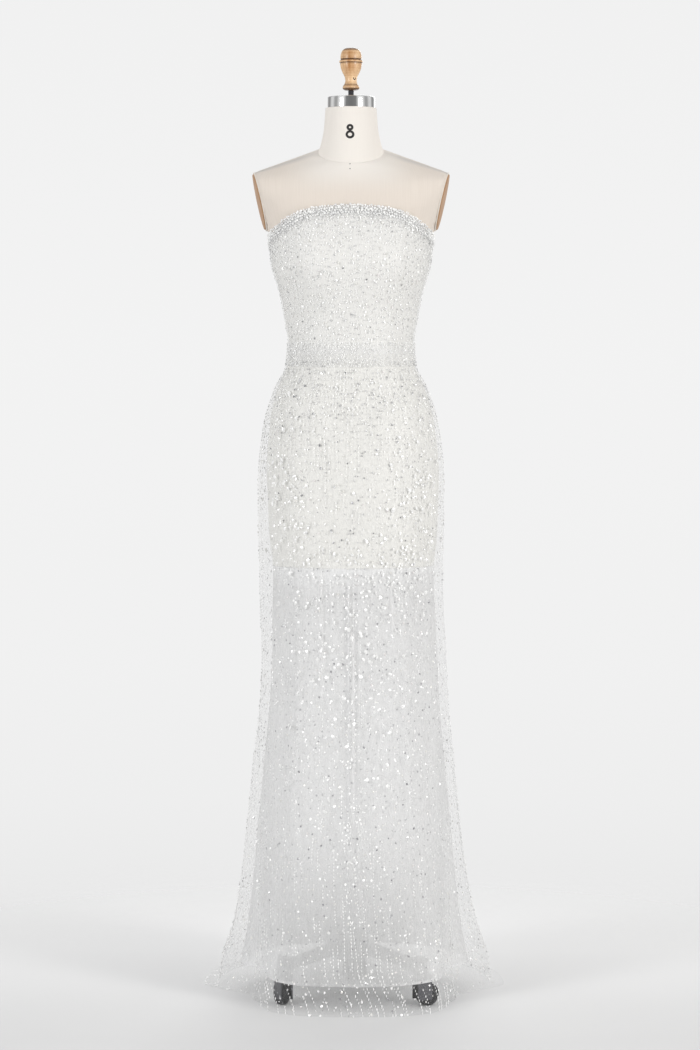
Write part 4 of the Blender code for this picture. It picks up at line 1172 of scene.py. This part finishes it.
def armPlatePieces(side, sign, sides=56, cordSides=8, cordRadius=0.0014):
    # A stained oval board on the flat end of the shoulder, and the cord round its edge
    lean = np.array([1.0, -armPlate["turn"], -armPlate["lean"]])
    lean = lean / np.linalg.norm(lean)
    along = np.array([armPlate["turn"], 1.0, 0.0])
    along = along / np.linalg.norm(along)
    up = np.cross(lean, along)
    middleZ = (armPlate["foot"] + armPlate["top"]) / 2
    middleX = armPlate["x"] + (middleZ - armPlate["z"]) * armPlate["lean"]
    tall = (armPlate["top"] - armPlate["foot"]) / 2 / up[2]
    flip = np.array([sign, 1.0, 1.0])
    centre = np.array([middleX, armPlate["middle"], middleZ]) * flip + lean * flip * 0.0003
    across, out, up = along * flip * sign, lean * flip, up * flip
    turns = np.arange(sides) * math.tau / sides
    narrow = 1 - 0.16 * np.maximum(0.0, np.sin(turns))
    rim = (np.outer(armPlate["halfDepth"] * narrow * np.cos(turns), across)
           + np.outer(tall * np.sin(turns), up))
    thick = armPlate["thickness"]
    profile = ((0.02, 0.0), (0.995, 0.0), (1.0, 0.0006), (1.0, thick - 0.0010),
               (0.985, thick - 0.0002), (0.95, thick), (0.02, thick))
    grid = np.array([centre + rim * scale + out * lift for scale, lift in profile])
    faces = gridFaces(len(profile), sides, wrap=True)
    points = list(grid.reshape(-1, 3)) + [centre, centre + out * thick]
    last = (len(profile) - 1) * sides
    for i in range(sides):
        k = (i + 1) % sides
        faces += [(len(points) - 2, k, i), (len(points) - 1, last + i, last + k)]
    board = meshObject(f"arm_board_{side}", points, faces, finishes["tanBoard"])
    crispEdges(board, 38)
    given(board, f"arm_plate_{side}")
    cordRows = []
    for turn in np.arange(cordSides) * math.tau / cordSides:
        grow = 1 + (0.0016 + cordRadius * math.cos(turn)) / armPlate["halfDepth"]
        cordRows.append(centre + rim * grow + out * (0.0004 + cordRadius * math.sin(turn)))
    given(meshObject(f"arm_piping_{side}", np.array(cordRows).reshape(-1, 3),
                     gridFaces(cordSides, sides, wrap=True, wrapRows=True),
                     finishes["creamPiping"]))


armPlatePieces("left", 1)
armPlatePieces("right", -1)
print("form ready")

# The stand: finer turned pieces for the round ones, and the frame's own for the rest
given(lathe("chrome_pole", [(0.1303, 0.0), (0.1303, 0.0122), (0.1306, 0.0125),
                            (0.8494, 0.0125), (0.8497, 0.0122), (0.8497, 0.0)],
            (0, 0, 0), 48, finishes["poleChrome"]), "pole")

casters = [
    # number, place of the stem, way the wheel trails
    (1, (-0.1228, -0.0780), (-0.42, 0.9075)),
    (2, (0.1280, -0.0800), (0.90, 0.4359)),
    (3, (0.0000, 0.1600), (0.76, 0.6499)),
]
wheelSizes = {"radius": 0.021, "trail": 0.014, "half": 0.009, "bore": 0.0034, "sides": 56}
for number, (x, y), trail in casters:
    back = np.array([trail[0], trail[1], 0.0]) / np.hypot(*trail)
    axle = np.cross(back, (0.0, 0.0, 1.0))
    hub = np.array([x, y, wheelSizes["radius"]]) + back * wheelSizes["trail"]
    r, w = wheelSizes["radius"], wheelSizes["half"]
    rows = [(-w, wheelSizes["bore"]), (-w, 0.0085), (-w + 0.0012, 0.0092), (-w + 0.0012, 0.0150),
            (-w, 0.0158), (-w, r - 0.0030), (-w + 0.0008, r - 0.0010), (-w + 0.0022, r - 0.0001),
            (-0.003, r), (0.003, r), (w - 0.0022, r - 0.0001), (w - 0.0008, r - 0.0010),
            (w, r - 0.0030), (w, 0.0158), (w - 0.0012, 0.0150), (w - 0.0012, 0.0092),
            (w, 0.0085), (w, wheelSizes["bore"])]
    wheel = lathe(f"rubber_wheel_{number}", rows, hub, wheelSizes["sides"],
                  finishes["blackRubber"], axis=axle, closed=True)
    given(wheel, f"caster_wheel_{number}", f"wheel_{number}")

plainNodes = {"pole_collar": "darkMetal", "base_hub": "greyIron", "zip_slider": "zipMetal",
              "zip_bail": "zipMetal", "zip_pull": "zipMetal"}
for number in (1, 2, 3):
    plainNodes |= {f"base_leg_{number}": "greyIron", f"caster_boss_{number}": "greyIron"}
    plainNodes |= {f"caster_{part}_{number}": "darkMetal" for part in ("stem", "fork", "axle")}
for node, finish in plainNodes.items():
    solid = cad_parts[node]
    solid.data.materials.clear()
    solid.data.materials.append(finishes[finish])
    solid.data.polygons.foreach_set("use_smooth", [True] * len(solid.data.polygons))
    solid.modifiers.new("weld", "WELD").merge_threshold = 0.00002
    crispEdges(solid, 35)
print("stand ready")

# Cloth panels, from the inside out
columnSplits = {"lining": 6, "net": 8}
gores = {"front_": (0, 3), "side_": (3, 9), "back_": (9, 17)}
thirds = {"front": (-9, 9), "back_left": (9, 17), "back_right": (-17, -9)}


def columnNumbers(ends, splits):
    return np.linspace(ends[0], ends[1], int((ends[1] - ends[0]) * splits) + 1)


def bodyHeights(ends, cloth, foot, drop, rows):
    # Heights from a level foot to a drop below the neckline
    numbers = columnNumbers(ends, columnSplits[cloth])
    top = edgeOver(numbers) - drop
    height = foot + (top - foot) * np.linspace(0.0, 1.0, rows)[:, None]
    return angleOf(np.broadcast_to(numbers, height.shape), height), height


def levelRows(ends, levels):
    numbers = columnNumbers(ends, columnSplits["net"])
    height = np.broadcast_to(levels[:, None], (len(levels), len(numbers)))
    return angleOf(numbers, height), height


def liningPanel(node, ends):
    angle, height = bodyHeights(ends, "lining", dress["liningHem"], 0.002, 76)
    made, size = gridObject(f"{node}_cloth", liningFace(angle, height), ivoryCloth)
    dressed(made, node, size)


def underskirtPanel(node, ends):
    foot, top = dress["underskirtHem"], dress["liningHem"]
    levels = [[foot, foot + 0.003, foot + 0.006], np.linspace(0.066, top - 0.0003, 78)]
    angle, height = levelRows(ends, np.concatenate(levels))
    drop = (top - height) / (top - foot)
    ripple = 0.0016 * np.sin(np.radians(angle * 7.0 + 30 * np.sin(height * 9))) * eased(drop * 2)
    lift = layerOffset["lining"] - 0.006 * eased(drop * 2.2) + ripple
    base, out = underskirtBase(angle, height), outwardOf(underskirtBase, angle, height)
    facingFront = 1 - 0.85 * eased((np.abs(angle) - 38) / 22)
    rolled = np.where(height < foot + 0.0045, 0.7, 0.0) * facingFront
    near = 0.75 * eased((height - top + 0.050) / 0.050)
    made, size = gridObject(f"{node}_cloth", base + out * lift[..., None], plainNet,
                            np.maximum(rolled, near))
    dressed(made, node, size)


for side, sign in (("left", 1), ("right", -1)):
    for part, (first, last) in gores.items():
        ends = (first, last) if sign > 0 else (-last, -first)
        liningPanel(f"lining_{part}{side}", ends)
        underskirtPanel(f"underskirt_{part}{side}", ends)
print("lining and underskirt ready")


def skirtPanel(node, ends):
    levels = [np.linspace(0.0, 0.054, 16), np.linspace(0.058, dress["skirtTop"], 124)]
    angle, height = levelRows(ends, np.concatenate(levels))
    gather = creaseHeight(angle, height, ridge=False)
    edge = np.where(height < 0.003, 0.55, 0.0) * (1 - 0.75 * eased((np.abs(angle) - 60) / 20))
    gather = np.clip(gather + edge, 0.0, 1.0)
    return gridObject(f"{node}_net", skirtFace(angle, height), outerNet, gather)


def bodicePanel(node, ends):
    angle, height = bodyHeights(ends, "net", dress["bodiceFoot"], 0.0, 64)
    gather = eased((height - neckline(angle) + 0.075) / 0.06) * 0.3
    return gridObject(f"{node}_net", bodiceFace(angle, height), bodiceNet, gather)


def beadedStrip(node, face, angle, height, strength):
    # A strip that is thickest along its middle
    fade = strength * np.sin(np.linspace(0.0, math.pi, len(height)))[:, None] + 0 * height
    return gridObject(f"{node}_net", face(angle, height), trimNet, fade)


def trimPanel(node, ends):
    numbers = columnNumbers(ends, columnSplits["net"])
    height = edgeOver(numbers) + np.linspace(-dress["trimHeight"], 0.0005, 8)[:, None]
    angle = angleOf(np.broadcast_to(numbers, height.shape), height)
    return beadedStrip(node, trimFace, angle, height, 1.0)


def bandPanel(node, ends):
    angle, height = levelRows(ends, np.linspace(dress["bandFoot"], dress["bandTop"], 14))
    return beadedStrip(node, bandFace, angle, height, 0.8)


# Sequins and beads
chance = np.random.default_rng(20)
sequins = {"spacing": 0.0128, "rowStep": 0.0118, "floorStep": 0.0035, "foot": 0.0012,
           "top": 1.176, "highest": 1.19}
strings = {"apart": 0.0105, "step": 0.0062}

# Where larger sequins crowd, painted white as glints: angle, height, spreads in degrees and metres,
# count
clusters = [
    (-46.0, 1.010, 22.0, 0.100, 60),
    (-38.0, 0.880, 20.0, 0.120, 60),
    (44.0, 0.960, 26.0, 0.130, 90),
    (38.0, 0.820, 26.0, 0.110, 100),
    (10.0, 0.800, 60.0, 0.060, 70),
    (-1.0, 0.700, 7.0, 0.170, 46),
    (-1.0, 0.480, 7.0, 0.220, 50),
    (-2.0, 0.270, 12.0, 0.150, 26),
    (12.0, 0.740, 8.0, 0.120, 30),
    (-26.0, 0.620, 26.0, 0.220, 80),
    (30.0, 0.580, 28.0, 0.240, 80),
    (0.0, 0.300, 70.0, 0.300, 90),
    (-120.0, 0.980, 30.0, 0.140, 90),
    (125.0, 0.900, 34.0, 0.180, 100),
    (-150.0, 0.600, 30.0, 0.240, 90),
    (160.0, 0.500, 30.0, 0.260, 100),
    (-100.0, 0.400, 22.0, 0.240, 80),
    (104.0, 0.350, 22.0, 0.240, 80),
]


def drift(height):
    # Bead strings lean to the wearer's left on their way to the hem
    return 4.0 * eased((0.30 - height) / 0.30) + 8.0 * eased((0.085 - height) / 0.085)


def keepSpacing(surface, angle, height, wanted, floorStep):
    # Thins rows that lie closer together than wanted, where the net spreads on the floor
    rise = surface(angle, height + 0.0006) - surface(angle, height - 0.0006)
    real = np.linalg.norm(rise, axis=-1) / 0.0012 * floorStep
    return np.clip(real / wanted, 0.0, 1.0)


def inPanel(angle, ends):
    first, last = (angleOf(np.array(float(n)), np.array(0.5)) for n in ends)
    return (angle >= first) & (angle <= last)


def drawn(count, least, most):
    # Random numbers from least to most
    return least + (most - least) * chance.random(count)


def skirtBeading(node, ends):
    step, apart = sequins["rowStep"], sequins["spacing"]
    angle, height = spacedOver(skirtFace, *ends, np.arange(0.060, sequins["top"], step), apart)
    lying = np.arange(0.0015, 0.058, sequins["floorStep"])
    low, lowHeight = spacedOver(skirtFace, *ends, lying, apart)
    share = keepSpacing(skirtFace, low, lowHeight, step, sequins["floorStep"])
    kept = chance.random(len(low)) < share
    angle = np.concatenate([angle, low[kept]])
    height = np.clip(np.concatenate([height, lowHeight[kept]]), sequins["foot"],
                     sequins["highest"])
    side = np.exp(-((np.abs(angle) - 88) / 20) ** 2)
    lying = eased((0.060 - height) / 0.02)
    kept = chance.random(len(angle)) > np.maximum(0.50 * side, 0.45 * lying)
    angle, height, side = angle[kept], height[kept], side[kept]
    shade = chance.random(len(angle))
    # Painted highlight: sequins towards the sides are paler
    shade = shade + (1 - shade) * 0.45 * side
    grow = 0.55 + 0.50 * chance.random(len(angle)) ** 1.5
    for middle, level, wide, tall, count in clusters:
        more = middle + chance.normal(0, wide / 2, count)
        inside = inPanel(more, ends)
        levels = level + chance.normal(0, tall / 2, count)[inside]
        angle = np.concatenate([angle, more[inside]])
        height = np.concatenate([height, levels])
        shade = np.concatenate([shade, drawn(inside.sum(), 0.76, 0.96)])
        most = 1.00 - 0.45 * eased((0.55 - levels) / 0.25)
        grow = np.concatenate([grow, 0.85 + most * chance.random(inside.sum()) ** 2])
    height = np.clip(height, sequins["foot"], sequins["highest"])
    disc = beadsOn(f"{node}_sequins", "sequins", skirtFace, angle, height, shade, grow)
    rows = np.arange(1.030, 1.177, 0.0050)
    angle, height = spacedOver(skirtFace, *ends, rows, 0.0052)
    kept = chance.random(len(angle)) < 0.10 + 0.50 * eased((height - 1.05) / 0.12)
    angle, height = angle[kept], height[kept]
    top = beadsOn(f"{node}_waist_beads", "waist", skirtFace, angle, height,
                  drawn(len(angle), 0, 1), drawn(len(angle), 0.75, 1.25))
    return [disc, top, stringBeads(f"{node}_bead_strings", ends)]


def stringBeads(name, ends):
    # Broken strings of small beads that run from the waist to the hem
    guide = np.linspace(*ends, 400)
    waist = np.full(guide.shape, 1.1)
    along = distances(skirtFace(angleOf(guide, waist), waist))
    count = int(along[-1] / strings["apart"])
    at = (np.arange(count) + chance.uniform(0.15, 0.85, count)) * along[-1] / count
    angles, heights = [], []
    for number in np.interp(at, along, guide):
        shown, left = chance.random() < 0.6, chance.uniform(0.03, 0.2)
        sway = chance.uniform(-0.5, 0.5)
        fan = abs(number + 0.2) < 1.7
        lowStart = chance.uniform(0.20, 0.36) if fan else chance.uniform(-0.06, 0.13)
        for height in np.arange(0.002, sequins["top"], strings["step"])[::-1]:
            left -= strings["step"]
            if left < 0:
                shown = not shown
                busy = 1.0 if height > 1.06 or height < lowStart else 0.30
                left = (chance.uniform(0.04, 0.18) * busy if shown
                        else chance.uniform(0.03, 0.16) * (1.25 - busy))
            if not shown:
                continue
            angle = float(angleOf(np.array(number), np.array(height)))
            angles.append(angle + drift(height) + sway * math.sin(height * 31 + number))
            heights.append(height)
    angle, height = np.array(angles), np.array(heights)
    share = keepSpacing(skirtFace, angle, height, strings["step"] * 0.8, strings["step"])
    kept = inPanel(angle, ends) & (chance.random(len(angle)) < share)
    angle, height = angle[kept], height[kept]
    pale = 0.62 * eased((0.34 - height) / 0.10) * (chance.random(len(angle)) < 0.75)
    shade = pale + (1 - pale) * chance.random(len(angle))
    grow = drawn(len(angle), 0.8, 1.15) + 0.25 * eased((0.20 - height) / 0.10)
    return beadsOn(name, "string", skirtFace, angle, height, shade, grow)


def bodiceBeading(node, ends):
    rows = np.arange(1.232, 1.470, 0.0084)
    angle, height = spacedOver(bodiceFace, *ends, rows, 0.0090)
    inside = height < neckline(angle) - 0.016
    angle, height = angle[inside], height[inside]
    disc = beadsOn(f"{node}_sequins", "bodiceSequins", bodiceFace, angle, height,
                   chance.random(len(angle)) ** 0.50,
                   0.55 + 0.65 * chance.random(len(angle)) ** 1.5)
    rows = np.arange(1.232, 1.476, 0.0042)
    angle, height = spacedOver(bodiceFace, *ends, rows, 0.0046)
    below = neckline(angle) - height
    reach = 0.048 + 0.036 * eased((np.abs(angle) - 40) / 40) * eased((150 - np.abs(angle)) / 60)
    dense = np.clip(1 - (below - 0.012) / reach, 0.0, 1.0) ** 1.3
    kept = (below > 0.009) & (chance.random(len(angle)) < 0.13 + 0.87 * dense)
    angle, height, dense = angle[kept], height[kept], dense[kept]
    pale = 0.22 * (1 - dense)
    shade = pale + (1 - pale) * chance.random(len(angle))
    seeds = beadsOn(f"{node}_beads", "bodice", bodiceFace, angle, height, shade,
                    drawn(len(angle), 0.75, 1.25))
    return [disc, seeds]


def trimBeading(node, ends):
    # Four rows of pearls along the upper edge, with small beads between and below them
    guide = np.linspace(*ends, 600)
    guideAngle, edge = angleOf(guide, np.full(guide.shape, seamTop)), edgeOver(guide)
    along = distances(trimFace(guideAngle, edge))
    angles, heights = [], []
    for row, drop in enumerate((0.0012, 0.0056, 0.0100, 0.0150)):
        count = int(along[-1] / 0.0050)
        at = (np.arange(count) + 0.5 + 0.5 * (row % 2)) * along[-1] / count
        at = np.clip(at + chance.uniform(-0.0014, 0.0014, count), 0.001, along[-1] - 0.001)
        angles.append(np.interp(at, along, guideAngle))
        heights.append(np.interp(at, along, edge) - drop + chance.uniform(-0.0016, 0.0012, count))
    angle, height = np.concatenate(angles), np.concatenate(heights)
    pearls = beadsOn(f"{node}_pearls", "pearls", trimFace, angle, height,
                     chance.random(len(angle)), np.ones(len(angle)))
    drops = 0.001 + (dress["trimHeight"] + 0.003) * chance.random(int(along[-1] / 0.0010)) ** 1.25
    at = chance.uniform(0.001, along[-1] - 0.001, len(drops))
    small = beadsOn(f"{node}_beads", "trim", trimFace, np.interp(at, along, guideAngle),
                    np.interp(at, along, edge) - drops, drawn(len(at), 0.30, 1.0),
                    drawn(len(at), 0.8, 1.2))
    return [pearls, small]


def bandBeading(node, ends):
    # Upright strokes of beads, with darker rows along the lower edge
    rows = np.arange(dress["bandFoot"] + 0.002, dress["bandTop"] - 0.001, 0.0036)
    angle, height = spacedOver(bandFace, *ends, rows, 0.0033, 0.22)
    low = (height - dress["bandFoot"]) / (dress["bandTop"] - dress["bandFoot"])
    turned = np.clip((angle + 20) / 60, 0.0, 1.0) * (np.abs(angle) < 90)
    kept = chance.random(len(angle)) < (0.62 + 0.3 * (low < 0.3)) * (1 - 0.45 * turned)
    angle, height, low = angle[kept], height[kept], low[kept]
    shade = np.where(low < 0.26, drawn(len(angle), 0.10, 0.88), drawn(len(angle), 0.34, 1.0))
    return [beadsOn(f"{node}_beads", "band", bandFace, angle, height, shade,
                    drawn(len(angle), 0.8, 1.15))]


# The centre-back zip: two rows of teeth and the tape each is set on
zipSizes = {"foot": 1.034, "top": 1.392, "slider": 1.359, "pitch": 0.0017, "tape": 0.0062,
            "lift": 0.0007, "bandLift": 0.0022, "tooth": (0.0009, 0.0005, 0.00036)}


def zipFace(x, height):
    # Along the centre back, just outside the bodice, the band and the skirt
    over = eased((height - 1.172) / 0.006) * eased((1.236 - height) / 0.006)
    angle = np.full(np.shape(height), 180.0)
    lift = layerOffset["skirt"] + zipSizes["lift"] + zipSizes["bandLift"] * over
    placed = dressBase(angle, height) + outwardOf(dressBase, angle, height) * lift[..., None]
    placed[..., 0] += x
    return placed


def zipTape(side, sign):
    levels = np.linspace(zipSizes["foot"], zipSizes["top"], 60)
    across = np.linspace(0.0004, zipSizes["tape"], 4) * sign
    height, x = np.meshgrid(levels, across[::sign], indexing="ij")
    return given(gridObject(f"zip_tape_{side}", zipFace(-x, height), ivoryCloth)[0])


def zipTeeth():
    levels = np.arange(zipSizes["foot"] + 0.004, zipSizes["slider"], zipSizes["pitch"])
    wide, deep, tall = zipSizes["tooth"]
    points, faces = [], []
    for row, sign in ((0.0, 1), (0.5, -1)):
        height = levels + row * zipSizes["pitch"]
        for place in zipFace(np.full(height.shape, sign * wide), height):
            start = len(points)
            points += [place + np.array([x * wide, y * deep + 0.0004, z * tall])
                       for x in (-1, 1) for y in (-1, 1) for z in (-1, 1)]
            faces += [tuple(start + i for i in face) for face in
                      ((0, 1, 3, 2), (4, 6, 7, 5), (0, 4, 5, 1), (2, 3, 7, 6), (0, 2, 6, 4),
                       (1, 5, 7, 3))]
    return given(meshObject("zip_teeth", points, faces, finishes["zipMetal"], smooth=False))


zipPieces = {"bodice_back_left": [zipTape("left", 1), zipTeeth()],
             "bodice_back_right": [zipTape("right", -1)]}
layers = [
    # first word of the node, panel, beading, slot, how it is held, what it rests on
    ("skirt", skirtPanel, skirtBeading, "beaded_net", "hung", "waist_band_{}_net"),
    ("bodice", bodicePanel, bodiceBeading, "beaded_net", "stretched", "linen_torso"),
    ("neckline_trim", trimPanel, trimBeading, "bead_trim", "laid", "bodice_{}_net"),
    ("waist_band", bandPanel, bandBeading, "bead_trim", "stretched", "bodice_{}_net"),
]
for part, ends in thirds.items():
    for word, panel, beading, slot, held, rests in layers:
        node = f"{word}_{part}"
        made, size = panel(node, ends)
        pieces = beading(node, ends) + zipPieces.get(node, [])
        dressed(made, node, size)
    print(part, "panels ready")

for node, (width, length) in sorted(sheetSizes.items()):
    print("sheet", node, width, length)

bpy.context.scene.view_settings.view_transform = "Standard"
bpy.context.scene.cycles.transparent_max_bounces = 32
